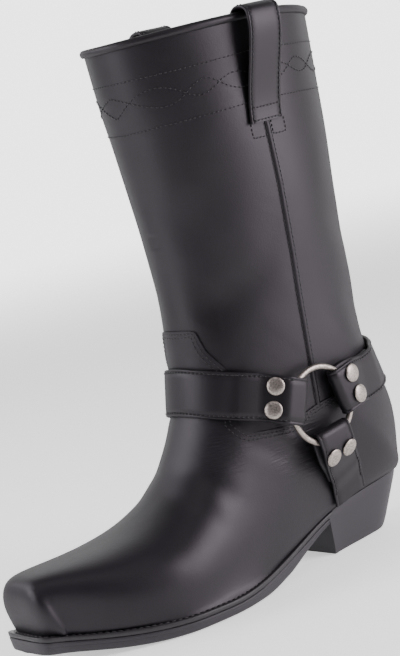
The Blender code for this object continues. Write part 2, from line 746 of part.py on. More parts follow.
class Face:
    """The upper's outer face, to lay the harness on."""

    def __init__(self):
        grid, weld = upper_grid(4, 24)
        normal = grid_normals(grid, weld)
        grid = offset_grid(grid, normal, OVERLAY_RISE)
        rows, columns = grid.shape[:2]
        verts = [Vector(point) for point in grid.reshape(-1, 3)]
        quads = []
        for i in range(rows - 1):
            for j in range(columns - 1):
                a = i * columns + j
                quads.append((a, a + 1, a + columns + 1, a + columns))
        self.tree = BVHTree.FromPolygons(verts, quads)

    def cast(self, origin, direction):
        hit = self.tree.ray_cast(Vector(origin), Vector(direction).normalized())
        return None if hit[0] is None else np.array(hit[0])

    def around(self, turn, z):
        """Where a level line from outside towards the shaft's axis meets the face."""
        angle = math.radians(turn)
        way = np.array([math.cos(angle), -math.sin(angle), 0.0])
        return self.cast(np.array([0.0, AXIS_Y, z]) + 0.3 * way, -way)

    def beside(self, side, y, z):
        return self.cast((side * 0.3, y, z), (-side, 0, 0))

    def nearest(self, point):
        place, normal, _, _ = self.tree.find_nearest(Vector(point))
        normal = np.array(normal)
        if np.dot(np.array(point) - np.array([0.0, AXIS_Y, point[2]]), normal) < 0:
            normal = -normal
        return np.array(place), normal


class Route:
    """A strap's way over the face: place, run, outward and across at each length."""

    def __init__(self, face, points, width):
        points = np.array(points)
        gone = np.concatenate([[0], np.cumsum(np.linalg.norm(np.diff(points, axis=0), axis=1))])
        self.length = gone[-1]
        count = int(self.length / 0.004) + 2
        self.at = np.linspace(0, self.length, count)
        line = np.stack([smooth_curve(gone, points[:, k], self.at) for k in range(3)], 1)
        run = np.gradient(line, axis=0)
        run /= np.linalg.norm(run, axis=1, keepdims=True)
        out = []
        spots = []
        for point in line:
            spot, normal = face.nearest(point)
            spots.append(spot)
            out.append(normal)
        out = np.array(out)
        self.place = np.array(spots)
        for _ in range(3):
            padded = np.concatenate([out[:1], out, out[-1:]])
            out = padded[:-2] + 2 * padded[1:-1] + padded[2:]
            out -= run * np.sum(out * run, axis=1, keepdims=True)
            out /= np.linalg.norm(out, axis=1, keepdims=True)
        self.run = run
        self.out = out
        self.across = np.cross(run, out)
        self.rest(face, width)

    def rest(self, face, width):
        """Lift and tip each station so that a strap, flat across, just clears the face."""
        shares = np.linspace(-0.5, 0.5, 9) * width
        lift = []
        tip = []
        for i in range(len(self.at)):
            heights = []
            for share in shares:
                start = self.place[i] + self.across[i] * share + self.out[i] * 0.03
                hit = face.cast(start, -self.out[i])
                heights.append(-0.05 if hit is None else float(np.dot(hit - self.place[i], self.out[i])))
            best = (heights[4], 0.0)
            for a in range(4):
                for b in range(5, 9):
                    slope = (heights[b] - heights[a]) / (shares[b] - shares[a])
                    level = heights[a] - slope * shares[a]
                    if level > best[0]:
                        best = (level, slope)
            if best[1] == 0.0:
                least = max((heights[b] - heights[4]) / shares[b] for b in range(5, 9))
                most = min((heights[a] - heights[4]) / shares[a] for a in range(4))
                best = (heights[4], (least + most) / 2)
            lift.append(best[0])
            tip.append(best[1])
        lift = np.array(lift)
        tip = np.array(tip)
        for _ in range(2):
            spread = np.concatenate([lift[:1], lift, lift[-1:]])
            lift = np.maximum(lift, (spread[:-2] + spread[2:]) / 2)
            spread = np.concatenate([tip[:1], tip, tip[-1:]])
            tip = (spread[:-2] + 2 * spread[1:-1] + spread[2:]) / 4
        self.lift = lift
        self.tip = tip

    def frame(self, at):
        """Place, outward and across at a length; straight on before and after the route."""
        inside = min(max(at, 0.0), self.length)
        place = np.array([np.interp(inside, self.at, self.place[:, k]) for k in range(3)])
        run = np.array([np.interp(inside, self.at, self.run[:, k]) for k in range(3)])
        out = np.array([np.interp(inside, self.at, self.out[:, k]) for k in range(3)])
        out /= np.linalg.norm(out)
        run -= out * np.dot(run, out)
        run /= np.linalg.norm(run)
        lift = float(np.interp(inside, self.at, self.lift))
        tip = float(np.interp(inside, self.at, self.tip))
        place = place + run * (at - inside) + out * lift
        across = np.cross(run, out) + out * tip
        return place, run, out, across / np.linalg.norm(across)


def ribbon(name, centres, across, lift, width, thick, material):
    """A flat strap of even width and thickness along a line of places."""
    centres = np.array(centres)
    across = np.array(across)
    run = np.gradient(centres, axis=0)
    run /= np.linalg.norm(run, axis=1, keepdims=True)
    normal = np.cross(across, run)
    normal /= np.linalg.norm(normal, axis=1, keepdims=True)
    if np.dot(normal[0], lift) < 0:
        normal = -normal
    verts = []
    for i in range(len(centres)):
        for side, level in ((-1, -1), (1, -1), (1, 1), (-1, 1)):
            verts.append(centres[i] + across[i] * side * width / 2 + normal[i] * level * thick / 2)
    faces = []
    for i in range(len(centres) - 1):
        for k in range(4):
            a = 4 * i + k
            b = 4 * i + (k + 1) % 4
            faces.append([a, b, b + 4, a + 4])
    last = 4 * (len(centres) - 1)
    faces.append([0, 1, 2, 3])
    faces.append([last, last + 1, last + 2, last + 3])
    return new_object(name, verts, faces, material)


def fold_line(route, ring, way, side, width, ease=0.55):
    """A strap's middle line from its tail, round the ring and back to lie on the face."""
    outward = np.array([side, 0.0, 0.0])
    wire = ring + way * RING_RADIUS
    tangent = np.cross(way, outward)
    if np.dot(tangent, route.frame(0.0)[3]) < 0:
        tangent = -tangent
    inner = RING_RADIUS - RING_WIRE / 2
    chord = inner - math.sqrt(inner**2 - (width / 2) ** 2)
    turn = RING_WIRE / 2 + 2 * GAP + STRAP_THICK / 2
    low = REST + STRAP_THICK / 2
    high = low + STRAP_THICK + GAP
    stations = [(share, -turn, low) for share in FOLD_SHARES[::-1]]
    for angle in np.linspace(-math.pi / 2, math.pi / 2, 9):
        stations.append((-(chord + turn * math.cos(angle)) / STRAP_TAIL, turn * math.sin(angle), 0.0))
    stations += [(share, turn, high) for share in FOLD_SHARES]
    stations += [(1.05, turn, high), (1.21, turn, (low + high) / 2), (1.40, turn, low)]
    centres = []
    across = []
    for share, off, height in stations:
        at = share * STRAP_TAIL
        mix = min(max((share - 0.08) / ease, 0.0), 1.0)
        mix = mix * mix * (3 - 2 * mix)
        place, run, out, beside = route.frame(at)
        centres.append((wire + way * at + outward * off) * (1 - mix) + (place + out * height) * mix)
        beside = tangent * (1 - mix) + beside * mix
        across.append(beside / np.linalg.norm(beside))
    return centres, across, 1.40 * STRAP_TAIL


def ring_centre(face, side):
    """The ring hangs in an upright plane that just clears the boot all round."""
    reachable = []
    for angle in np.linspace(0, 2 * math.pi, 32, endpoint=False):
        spoke = np.array([0.0, math.cos(angle), math.sin(angle)])
        hit = face.beside(side, RING_Y + RING_RADIUS * spoke[1], RING_Z + RING_RADIUS * spoke[2])
        room = RING_WIRE / 2 + 2 * GAP
        if max(np.dot(spoke, way) for way in (FRONT_WAY, BACK_WAY, LOW_WAY)) > 0.78:
            room += STRAP_THICK + REST
        reachable.append(side * hit[0] + room)
    return np.array([side * max(reachable), RING_Y, RING_Z])


def make_ring(name, centre, metal):
    verts = []
    around = 36
    section = 8
    for i in range(around):
        angle = 2 * math.pi * i / around
        spoke = np.array([0.0, math.cos(angle), math.sin(angle)])
        for k in range(section):
            turn = 2 * math.pi * k / section
            off = RING_WIRE / 2 * math.cos(turn)
            side = RING_WIRE / 2 * math.sin(turn)
            verts.append(centre + spoke * (RING_RADIUS + off) + np.array([side, 0.0, 0.0]))
    faces = []
    for i in range(around):
        for k in range(section):
            a = i * section
            b = ((i + 1) % around) * section
            n = (k + 1) % section
            faces.append([a + k, a + n, b + n, b + k])
    return new_object(name, verts, faces, metal)


def make_stud(name, place, out, metal):
    """A low domed rivet head with a flat back, resting on the strap."""
    out = out / np.linalg.norm(out)
    first = np.cross(out, [0.0, 0.0, 1.0])
    first /= np.linalg.norm(first)
    second = np.cross(out, first)
    rings = [(1.00, 0.0), (1.00, 0.30), (0.80, 0.72), (0.45, 0.94)]
    around = 14
    verts = []
    for radius, height in rings:
        for i in range(around):
            angle = 2 * math.pi * i / around
            spoke = first * math.cos(angle) + second * math.sin(angle)
            verts.append(place + spoke * radius * STUD_WIDTH / 2 + out * height * STUD_RISE)
    top = len(verts)
    verts.append(place + out * STUD_RISE)
    faces = [list(range(around))]
    for k in range(len(rings) - 1):
        for i in range(around):
            j = (i + 1) % around
            faces.append([k * around + i, k * around + j, (k + 1) * around + j, (k + 1) * around + i])
    for i in range(around):
        faces.append([(len(rings) - 1) * around + i, (len(rings) - 1) * around + (i + 1) % around, top])
    return new_object(name, verts, faces, metal)


def outer_layer(centres, across, side, at):
    """Place, run, outward and across of the strap's outer layer at a length past the wire."""
    first = len(FOLD_SHARES) + 9
    layer = slice(first, first + len(FOLD_SHARES))
    lengths = np.array(FOLD_SHARES) * STRAP_TAIL
    lines = [np.array(rows[layer]) for rows in (centres, across)]
    values = []
    for line, length in ((lines[0], at), (lines[1], at), (lines[0], at + 0.002), (lines[0], at - 0.002)):
        values.append(np.array([np.interp(length, lengths, line[:, k]) for k in range(3)]))
    place, beside, ahead, behind = values
    run = (ahead - behind) / np.linalg.norm(ahead - behind)
    out = np.cross(run, beside)
    out /= np.linalg.norm(out)
    return place, run, out if side * out[0] > 0 else -out, beside


def studs_on(name, strap, spot_frame, width, metal):
    """Two rivets side by side on a strap's upper layer."""
    points = [vert.co.copy() for vert in strap.data.vertices]
    tree = BVHTree.FromPolygons(points, [tuple(face.vertices) for face in strap.data.polygons])
    place, run, out, side = spot_frame

    def surface(spot, way):
        hit = tree.ray_cast(Vector(spot + way * 0.04), Vector(-way))[0]
        return spot if hit is None else np.array(hit)

    for label, share in (("upper", 0.5), ("lower", -0.5)):
        spot = place + side * share * STUD_PITCH * width
        ahead = surface(spot + run * STUD_WIDTH * 0.42, out)
        behind = surface(spot - run * STUD_WIDTH * 0.42, out)
        first = surface(spot + side * STUD_WIDTH * 0.42, out)
        second = surface(spot - side * STUD_WIDTH * 0.42, out)
        normal = np.cross(ahead - behind, first - second)
        normal /= np.linalg.norm(normal)
        if np.dot(normal, out) < 0:
            normal = -normal
        lean = np.cross(normal, side)
        heights = [0.0]
        for angle in np.linspace(0, 2 * math.pi, 16, endpoint=False):
            edge = spot + (side * math.cos(angle) + lean * math.sin(angle)) * STUD_WIDTH / 2
            heights.append(float(np.dot(surface(edge, normal) - spot, normal)))
        heights.append(float(np.dot(surface(spot, normal) - spot, normal)))
        make_stud(name + "_" + label, spot + normal * (max(heights) + 1.3 * GAP), normal, metal)


def make_level_strap(name, face, rings, way, turns, stud_at, leather, metal):
    """A strap from one ring round the front or the back of the boot to the other ring."""
    halves = []
    for side in (1, -1):
        points = [face.nearest(rings[side] + way * RING_RADIUS)[0]]
        for turn in turns:
            angle = turn.turn if side > 0 else 180 - turn.turn
            points.append(face.around(angle, turn.up * BOOT_HEIGHT))
        halves.append(points)
    whole = halves[0] + halves[1][::-1][1:]
    route = Route(face, whole, STRAP_WIDTH)
    back = Route(face, whole[::-1], STRAP_WIDTH)
    first, first_across, start = fold_line(route, rings[1], way, 1, STRAP_WIDTH)
    second, second_across, end = fold_line(back, rings[-1], way, -1, STRAP_WIDTH)
    low = REST + STRAP_THICK / 2
    centres = list(first)
    across = list(first_across)
    for at in np.linspace(start, route.length - end, 15)[1:-1]:
        place, run, out, side = route.frame(at)
        centres.append(place + out * low)
        across.append(side)
    centres += second[::-1]
    across += [-side for side in second_across[::-1]]
    lift = route.frame(STRAP_TAIL)[2]
    strap = ribbon(name, centres, across, lift, STRAP_WIDTH, STRAP_THICK, leather)
    stud = name.replace("strap", "stud")
    for label, side, line in (("lateral", 1, (first, first_across)), ("medial", -1, (second, second_across))):
        studs_on(stud + "_" + label, strap, outer_layer(*line, side, stud_at), STRAP_WIDTH, metal)


def make_low_strap(label, side, face, ring, leather, metal):
    points = [face.nearest(ring + LOW_WAY * RING_RADIUS)[0]]
    for corner in LOW_ROUTE:
        points.append(face.beside(side, float(along_to_y(corner.along)), corner.up * BOOT_HEIGHT))
    route = Route(face, points, LOW_STRAP_WIDTH)
    centres, across, start = fold_line(route, ring, LOW_WAY, side, LOW_STRAP_WIDTH, LOW_EASE)
    for at in (start + 0.004, start + 0.008, start + 0.012):
        place, run, out, beside = route.frame(at)
        centres.append(place + out * (REST + STRAP_THICK / 2))
        across.append(beside)
    name = "strap_low_" + label
    strap = ribbon(name, centres, across, route.frame(0.02)[2], LOW_STRAP_WIDTH, STRAP_THICK, leather)
    studs_on("stud_low_" + label, strap, outer_layer(centres, across, side, LOW_STUD), LOW_STRAP_WIDTH, metal)
    add_boolean(strap, "DIFFERENCE", as_helper(sole_block(name + "_seat")))


def sole_block(name):
    """Everything below the sole's top face, wider than the boot, to trim a strap's foot."""
    y = np.linspace(-0.08, HEEL_BACK + 0.02, 24)
    high = sole_top(np.clip(y, TOE_FRONT, HEEL_BACK)) + GAP
    wide = np.full(len(y), 0.2)
    low = np.full(len(y), -0.1)
    return slab(name, y, (wide, -wide), high, y, (wide, -wide), low)


def make_pull_loop(label, side, face, leather):
    centres = []
    across = []
    shares = np.linspace(0, 1, len(LOOP_ROUTE))
    fine = np.linspace(0, 1, 3 * len(LOOP_ROUTE) - 2)
    offs = smooth_curve(shares, column(LOOP_ROUTE, "off"), fine) * LOOP_HEIGHT
    ups = smooth_curve(shares, column(LOOP_ROUTE, "up"), fine) * LOOP_HEIGHT
    for off, up in zip(offs, ups):
        z = LOOP_FOOT + up
        y = LOOP_LOW_Y + LOOP_LEAN * up / LOOP_HEIGHT
        shaft = side * face.beside(side, LOOP_LOW_Y, min(z, RIM_HEIGHT - 0.004))[0] - OVERLAY_RISE
        centres.append((side * (shaft + off), y, z))
        across.append((0.0, 1.0, 0.0))
    outward = np.array([side, 0.0, 0.0])
    return ribbon("pull_loop_" + label, centres, across, outward, LOOP_WIDTH, LOOP_THICK, leather)


def main():
    clear_scene()
    leather = make_material("black_leather", (0.018, 0.017, 0.019), 0.38)
    strap_leather = make_material("black_strap_leather", (0.016, 0.015, 0.017), 0.42)
    rubber = make_material("black_rubber", (0.020, 0.020, 0.021), 0.62)
    welt_leather = make_material("black_welt_leather", (0.020, 0.019, 0.020), 0.55)
    board = make_material("insole_leather", (0.16, 0.12, 0.09), 0.75)
    silver = make_material("antique_silver", (0.56, 0.53, 0.49), 0.36, 1.0)

    outsole = make_outsole(rubber)
    make_welt(outsole, welt_leather)
    make_insole(board)
    make_upper(leather)
    make_binding(strap_leather)

    face = Face()
    rings = {}
    for label, side in (("lateral", 1), ("medial", -1)):
        rings[side] = ring_centre(face, side)
        make_ring("ring_" + label, rings[side], silver)
        make_pull_loop(label, side, face, strap_leather)
        make_low_strap(label, side, face, rings[side], strap_leather, silver)
    make_level_strap("strap_front", face, rings, FRONT_WAY, FRONT_ROUTE, FRONT_STUD, strap_leather, silver)
    make_level_strap("strap_back", face, rings, BACK_WAY, BACK_ROUTE, BACK_STUD, strap_leather, silver)


main()
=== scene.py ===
# Black harness boot: finished leather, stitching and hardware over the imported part.
import math

import bmesh
import bpy
import numpy as np
from mathutils import Matrix, Vector
from mathutils.bvhtree import BVHTree


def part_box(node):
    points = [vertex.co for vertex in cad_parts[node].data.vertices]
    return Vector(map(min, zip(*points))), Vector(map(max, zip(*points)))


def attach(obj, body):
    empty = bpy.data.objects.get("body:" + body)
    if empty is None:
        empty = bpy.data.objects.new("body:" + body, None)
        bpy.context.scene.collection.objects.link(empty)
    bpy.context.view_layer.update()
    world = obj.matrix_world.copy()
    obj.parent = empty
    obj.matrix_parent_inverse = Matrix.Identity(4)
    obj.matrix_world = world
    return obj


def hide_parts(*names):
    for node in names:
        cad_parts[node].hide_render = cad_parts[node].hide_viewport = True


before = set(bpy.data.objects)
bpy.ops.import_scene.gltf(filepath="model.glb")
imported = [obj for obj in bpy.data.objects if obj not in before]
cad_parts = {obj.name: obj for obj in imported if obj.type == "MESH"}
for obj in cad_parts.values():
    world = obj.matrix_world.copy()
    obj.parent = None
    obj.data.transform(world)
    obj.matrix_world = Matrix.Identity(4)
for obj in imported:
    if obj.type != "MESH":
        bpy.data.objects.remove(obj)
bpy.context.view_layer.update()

boot = {
    "soleLength": 0.310,
    "ballWidth": 0.102,
    "height": 0.368,
    "heelLength": 0.068,
    "heelTuck": 0.0165,
    "heelSideTuck": 0.0075,
    "heelRound": 0.036,
    "toeCorner": 0.013,
    "ledge": 0.005,
    "bindingThick": 0.0009,
    "overlayRise": 0.0012,
    "wall": 0.0018,
    "rimDipFront": 0.0018,
    "rimDipBack": 0.007,
    "seat": 0.0005,
    "axisY": -0.032,
}
heelBack = boot["heelLength"] / 2 + boot["heelTuck"]
heelBreast = -boot["heelLength"] / 2
toeFront = heelBack - boot["soleLength"]
rimHeight = boot["height"] - 2 * boot["bindingThick"]
size = boot["height"]
width = boot["ballWidth"]
toeStart = toeFront + boot["toeCorner"]
heelStart = heelBack - boot["heelRound"]
sides = ((1, "lateral"), (-1, "medial"))

# Sole edge: along, lateral, medial, ledge, top, under
edgeRows = np.array([
    (0.000, 0.113, 0.358, 1.00, 0.0585, 0.0270),
    (0.050, 0.147, 0.368, 1.00, 0.0490, 0.0195),
    (0.090, 0.235, 0.387, 0.90, 0.0425, 0.0135),
    (0.150, 0.377, 0.425, 0.80, 0.0350, 0.0060),
    (0.220, 0.495, 0.441, 0.70, 0.0293, 0.0012),
    (0.280, 0.552, 0.438, 0.62, 0.0270, 0.0000),
    (0.330, 0.566, 0.424, 0.60, 0.0262, 0.0000),
    (0.380, 0.568, 0.402, 0.60, 0.0258, 0.0000),
    (0.470, 0.515, 0.348, 0.55, 0.0304, 0.0010),
    (0.560, 0.431, 0.304, 0.45, 0.0429, 0.0122),
    (0.650, 0.353, 0.296, 0.30, 0.0606, 0.0368),
    (0.728, 0.304, 0.309, 0.15, 0.0770, 0.0570),
    (0.820, 0.288, 0.324, 0.10, 0.0902, 0.0720),
    (0.900, 0.282, 0.328, 0.10, 0.0984, 0.0800),
    (1.000, 0.270, 0.324, 0.10, 0.1060, 0.0880),
])
# Upper sections, toe edge to rim: base along, base up, ridge along, ridge up, lateral,
# medial, ridge x, widest, crown, tuck
sectionRows = np.array([
    (0.0516, 0.000, 0.020, 0.056, 0.110, 0.330, -0.108, 0.00, 4.0, 2.0),
    (0.0530, 0.000, 0.009, 0.103, 0.128, 0.339, -0.108, 0.10, 4.0, 2.0),
    (0.0560, 0.000, 0.014, 0.135, 0.134, 0.349, -0.108, 0.16, 3.8, 2.0),
    (0.0710, 0.000, 0.040, 0.151, 0.154, 0.364, -0.108, 0.22, 3.4, 2.0),
    (0.1270, 0.000, 0.115, 0.154, 0.296, 0.417, -0.083, 0.26, 2.9, 2.0),
    (0.2150, 0.000, 0.224, 0.161, 0.451, 0.446, -0.044, 0.26, 2.5, 2.0),
    (0.3180, 0.000, 0.331, 0.188, 0.505, 0.416, -0.010, 0.25, 2.3, 1.9),
    (0.4240, 0.000, 0.415, 0.245, 0.477, 0.379, 0.010, 0.25, 2.2, 1.8),
    (0.5340, 0.000, 0.473, 0.327, 0.440, 0.371, 0.010, 0.30, 2.1, 1.6),
    (0.6690, 0.000, 0.498, 0.416, 0.432, 0.388, 0.000, 0.38, 2.1, 1.4),
    (0.8020, 0.000, 0.506, 0.484, 0.447, 0.418, 0.000, 0.46, 2.1, 1.4),
    (0.9110, 0.000, 0.510, 0.530, 0.468, 0.439, 0.000, 0.50, 2.1, 1.6),
    (0.9640, 0.000, 0.511, 0.560, 0.480, 0.451, 0.000, 0.51, 2.1, 1.9),
    (0.9880, 0.000, 0.511, 0.582, 0.485, 0.456, 0.000, 0.52, 2.1, 2.0),
    (0.9945, 0.000, 0.510, 0.606, 0.490, 0.461, 0.000, 0.52, 2.1, 2.1),
    (1.0190, 0.082, 0.506, 0.644, 0.495, 0.471, 0.000, 0.52, 2.1, 2.2),
    (0.9840, 0.166, 0.505, 0.690, 0.500, 0.480, 0.000, 0.52, 2.15, 2.2),
    (0.9660, 0.261, 0.503, 0.736, 0.510, 0.495, 0.000, 0.52, 2.2, 2.2),
    (0.9685, 0.375, 0.498, 0.791, 0.525, 0.515, 0.000, 0.51, 2.2, 2.2),
    (0.9750, 0.514, 0.492, 0.842, 0.539, 0.529, 0.000, 0.50, 2.2, 2.2),
    (0.9895, 0.663, 0.484, 0.891, 0.544, 0.539, 0.000, 0.50, 2.2, 2.2),
    (1.0025, 0.889, 0.474, 0.995, 0.544, 0.539, 0.000, 0.50, 2.2, 2.2),
])
heelRow = 14


def gone(points):  # length from the first point to each point
    return np.concatenate([[0], np.cumsum(np.linalg.norm(np.diff(points, axis=0), axis=1))])


def unit(rows):
    return rows / np.linalg.norm(rows, axis=1, keepdims=True)


def padded(rows):  # the first and the last row doubled
    return np.concatenate([rows[:1], rows, rows[-1:]])


def circle(count):  # cosine and sine at even steps round
    return [(math.cos(2 * math.pi * k / count), math.sin(2 * math.pi * k / count)) for k in range(count)]


# faces between rows of points; closed joins the last column, or row, to the first
def netFaces(rows, columns, closed=False, looped=False, ends=()):
    faces = []
    for i in range(rows if looped else rows - 1):
        a = i * columns
        b = (i + 1) % rows * columns
        for k in range(columns if closed else columns - 1):
            n = (k + 1) % columns
            faces.append([a + k, a + n, b + n, b + k])
    return faces + [[row * columns + k for k in range(columns)] for row in ends]


def smoothCurve(knots, values, at):
    knots, values, at = (np.asarray(v, float) for v in (knots, values, at))
    count = len(knots)
    step = np.diff(knots)
    matrix = np.eye(count)
    right = np.zeros(count)
    for i in range(1, count - 1):
        matrix[i, i - 1 : i + 2] = step[i - 1], 2 * (step[i - 1] + step[i]), step[i]
        right[i] = 6 * ((values[i + 1] - values[i]) / step[i] - (values[i] - values[i - 1]) / step[i - 1])
    bend = np.linalg.solve(matrix, right)
    k = np.clip(np.searchsorted(knots, at, side="right") - 1, 0, count - 2)
    after = at - knots[k]
    before = knots[k + 1] - at
    cubic = (bend[k] * before**3 + bend[k + 1] * after**3) / (6 * step[k])
    first = (values[k] / step[k] - bend[k] * step[k] / 6) * before
    return cubic + first + (values[k + 1] / step[k] - bend[k + 1] * step[k] / 6) * after


def steadyCurve(knots, values, at):
    knots, values, at = (np.asarray(v, float) for v in (knots, values, at))
    step = np.diff(knots)
    slope = np.diff(values) / step
    tangent = np.zeros(len(knots))
    tangent[0] = slope[0]
    tangent[-1] = slope[-1]
    for i in range(1, len(knots) - 1):
        if slope[i - 1] * slope[i] > 0:
            left = 2 * step[i] + step[i - 1]
            right = step[i] + 2 * step[i - 1]
            tangent[i] = (left + right) / (left / slope[i - 1] + right / slope[i])
    k = np.clip(np.searchsorted(knots, at, side="right") - 1, 0, len(knots) - 2)
    t = (at - knots[k]) / step[k]
    start = (1 + 2 * t) * (1 - t) ** 2 * values[k] + t * (1 - t) ** 2 * step[k] * tangent[k]
    return start + t * t * (3 - 2 * t) * values[k + 1] + t * t * (t - 1) * step[k] * tangent[k + 1]


def alongSole(y):  # 0 at the toe, 1 at the heel's back
    return np.clip((np.asarray(y, float) - toeFront) / boot["soleLength"], 0, 1)


def edgeValue(column, y):
    return smoothCurve(edgeRows[:, 0], edgeRows[:, column], alongSole(y))


def soleTop(y):
    return size * edgeValue(4, y)


def soleUnder(y):
    return size * np.maximum(steadyCurve(edgeRows[:, 0], edgeRows[:, 5], alongSole(y)), 0)


def edgeInset(y, ledge, extra):
    return boot["ledge"] * ledge * edgeValue(3, y) + extra


def tips(ledge, extra):  # how far the outline goes in front and behind
    front, back = (float(edgeInset(y, ledge, extra)) for y in (toeFront, heelBack))
    return toeFront + front, heelBack - back


def reach(y, ledge=0.0, extra=0.0):
    y = np.asarray(y, float)
    inset = edgeInset(y, ledge, extra)
    lateral = width * edgeValue(1, y) - inset
    medial = -width * edgeValue(2, y) + inset
    front, back = tips(ledge, extra)
    toeShare = np.clip((toeStart - y) / (toeStart - front), 0, 1)
    heelShare = np.clip((y - heelStart) / (back - heelStart), 0, 1)
    shut = np.minimum((1 - toeShare**4.0) ** 0.25, (1 - heelShare**2.4) ** (1 / 2.4))
    middle = np.where(alongSole(y) > 0.6, 0.0, (lateral + medial) / 2)
    return middle + (lateral - middle) * shut, middle + (medial - middle) * shut


def edgeStations(extra=0.0, start=None, end=None, count=70):
    front, back = tips(0.0, extra)
    stations = []
    if start is None:
        for angle in np.linspace(0, math.pi / 2, 16)[:-1]:
            stations.append(toeStart - (toeStart - front) * math.cos(angle) ** 0.5)
        start = toeStart
    stations.extend(np.linspace(start, heelStart if end is None else end, count))
    if end is None:
        for angle in np.linspace(0, math.pi / 2, 18)[1:]:
            stations.append(heelStart + (back - heelStart) * math.sin(angle) ** (2 / 2.4))
    return np.array(stations)


def sectionTable(steps):
    last = len(sectionRows) - 1
    knots = np.arange(last + 1)
    rows = np.linspace(0, last, last * steps + 1)
    c = sectionRows.T.copy()
    baseY = toeFront + c[0] * boot["soleLength"]
    front, back = tips(1.0, boot["overlayRise"])
    baseY[0] = toeStart
    baseY[heelRow] = back
    baseUp = size * c[1]
    baseUp[-1] = rimHeight - float(soleTop(heelBack)) - boot["seat"]
    ridgeY = toeFront + c[2] * boot["soleLength"]
    ridgeY[0] = front
    ridgeZ = size * c[3]
    ridgeZ[0] = float(soleTop(ridgeY[0])) + boot["seat"]
    ridgeZ[-1] = rimHeight
    lateral = width * c[4]
    medial = -width * c[5]
    lateral[0], medial[0] = (float(v) for v in reach(baseY[0], 1.0, boot["overlayRise"]))
    ridgeX = width * c[6]
    ridgeX[0] = (lateral[0] + medial[0]) / 2
    table = [steadyCurve(knots, baseY, rows), steadyCurve(knots, baseUp, rows)]
    table += [smoothCurve(knots, v, rows) for v in (ridgeY, ridgeZ, lateral, medial, ridgeX)]
    table.append(np.clip(smoothCurve(knots, c[7], rows), 0, 1))
    return table + [smoothCurve(knots, v, rows) for v in (c[8], c[9])]


def sectionSide(foot, wide, top, height, widest, crown, tuck, columns):
    angle = np.linspace(0, math.pi / 2, 90)
    x = np.concatenate([
        foot + (wide - foot) * np.sin(angle) ** (2 / tuck),
        (top + (wide - top) * np.cos(angle) ** (2 / crown))[1:],
    ])
    r = np.concatenate([
        widest * height * (1 - np.cos(angle) ** (2 / tuck)),
        (widest * height + (1 - widest) * height * np.sin(angle) ** (2 / crown))[1:],
    ])
    length = np.concatenate([[0], np.cumsum(np.hypot(np.diff(x), np.diff(r)))])
    wanted = np.linspace(0, length[-1], columns + 1)
    return np.interp(wanted, length, x), np.interp(wanted, length, r)


# Rows up the boot, columns from the lateral feather edge over the top to the medial one
def upperGrid(steps, columns):
    baseY, baseUp, ridgeY, ridgeZ, latX, medX, topX, widest, crown, tuck = sectionTable(steps)
    weld = heelRow * steps
    grid = []
    for i in range(len(baseY)):
        y = baseY[i]
        z = float(soleTop(min(y, heelBack))) + baseUp[i] + boot["seat"]
        footL, footM = reach(y, 1.0, boot["overlayRise"])
        if i >= weld:
            z = float(soleTop(heelBack)) + baseUp[i] + boot["seat"]
            footL = footM = 0.0
        run = np.array([ridgeY[i] - y, ridgeZ[i] - z])
        height = float(np.hypot(*run))
        run = run / height
        shape = (widest[i], crown[i], tuck[i], columns)
        a = sectionSide(float(footL), latX[i], topX[i], height, *shape)
        b = sectionSide(float(footM), medX[i], topX[i], height, *shape)
        x = np.concatenate([a[0], b[0][::-1][1:]])
        r = np.concatenate([a[1], b[1][::-1][1:]])
        grid.append(np.stack([x, y + run[0] * r, z + run[1] * r], 1))
    grid = np.array(grid)
    grid[weld:, -1] = grid[weld:, 0]
    for j in (0, -1):
        grid[:weld, j, 2] = soleTop(grid[:weld, j, 1]) + boot["seat"]
    grid[0, :, 2] = soleTop(grid[0, :, 1]) + boot["seat"]
    # ease the turn where the heel's rows begin
    for spread in list(range(4 * steps, 0, -1)) * max(2, steps // 4):
        for i in range(weld - spread, weld + spread + 1):
            share = 0.5 * (1 - abs(i - weld) / (spread + 1))
            middle = (grid[i - 1, 2:-2] + grid[i + 1, 2:-2]) / 2
            grid[i, 2:-2] += (middle - grid[i, 2:-2]) * share
    low, high = grid[-1, :, 1].min(), grid[-1, :, 1].max()
    share = (grid[:, :, 1] - (low + high) / 2) / ((high - low) / 2)
    dip = np.where(share < 0, boot["rimDipFront"], boot["rimDipBack"]) * np.clip(np.abs(share), 0, 1) ** 2
    grid[:, :, 2] -= dip * (grid[:, :, 2] / rimHeight) ** 6
    return grid, weld


def gridNormals(grid, weld):
    along = np.gradient(grid, axis=0)
    across = np.gradient(grid, axis=1)
    across[weld:, 0] = across[weld:, -1] = grid[weld:, 1] - grid[weld:, -2]
    normal = np.cross(across, along)
    normal /= np.maximum(np.linalg.norm(normal, axis=2, keepdims=True), 1e-12)
    both = normal[weld:, 0] + normal[weld:, -1]
    normal[weld:, 0] = normal[weld:, -1] = both / np.linalg.norm(both, axis=1, keepdims=True)
    if np.sum(normal[-1] * (grid[-1] - np.array([0.0, boot["axisY"], 0.2]))) < 0:
        normal = -normal
    edges = [(i, j) for i in (0, -1) for j in range(grid.shape[1])]
    for i, j in edges + [(i, j) for i in range(weld + 1) for j in (0, -1)]:
        normal[i, j, 2] = 0.0
        normal[i, j] /= np.linalg.norm(normal[i, j])
    return normal


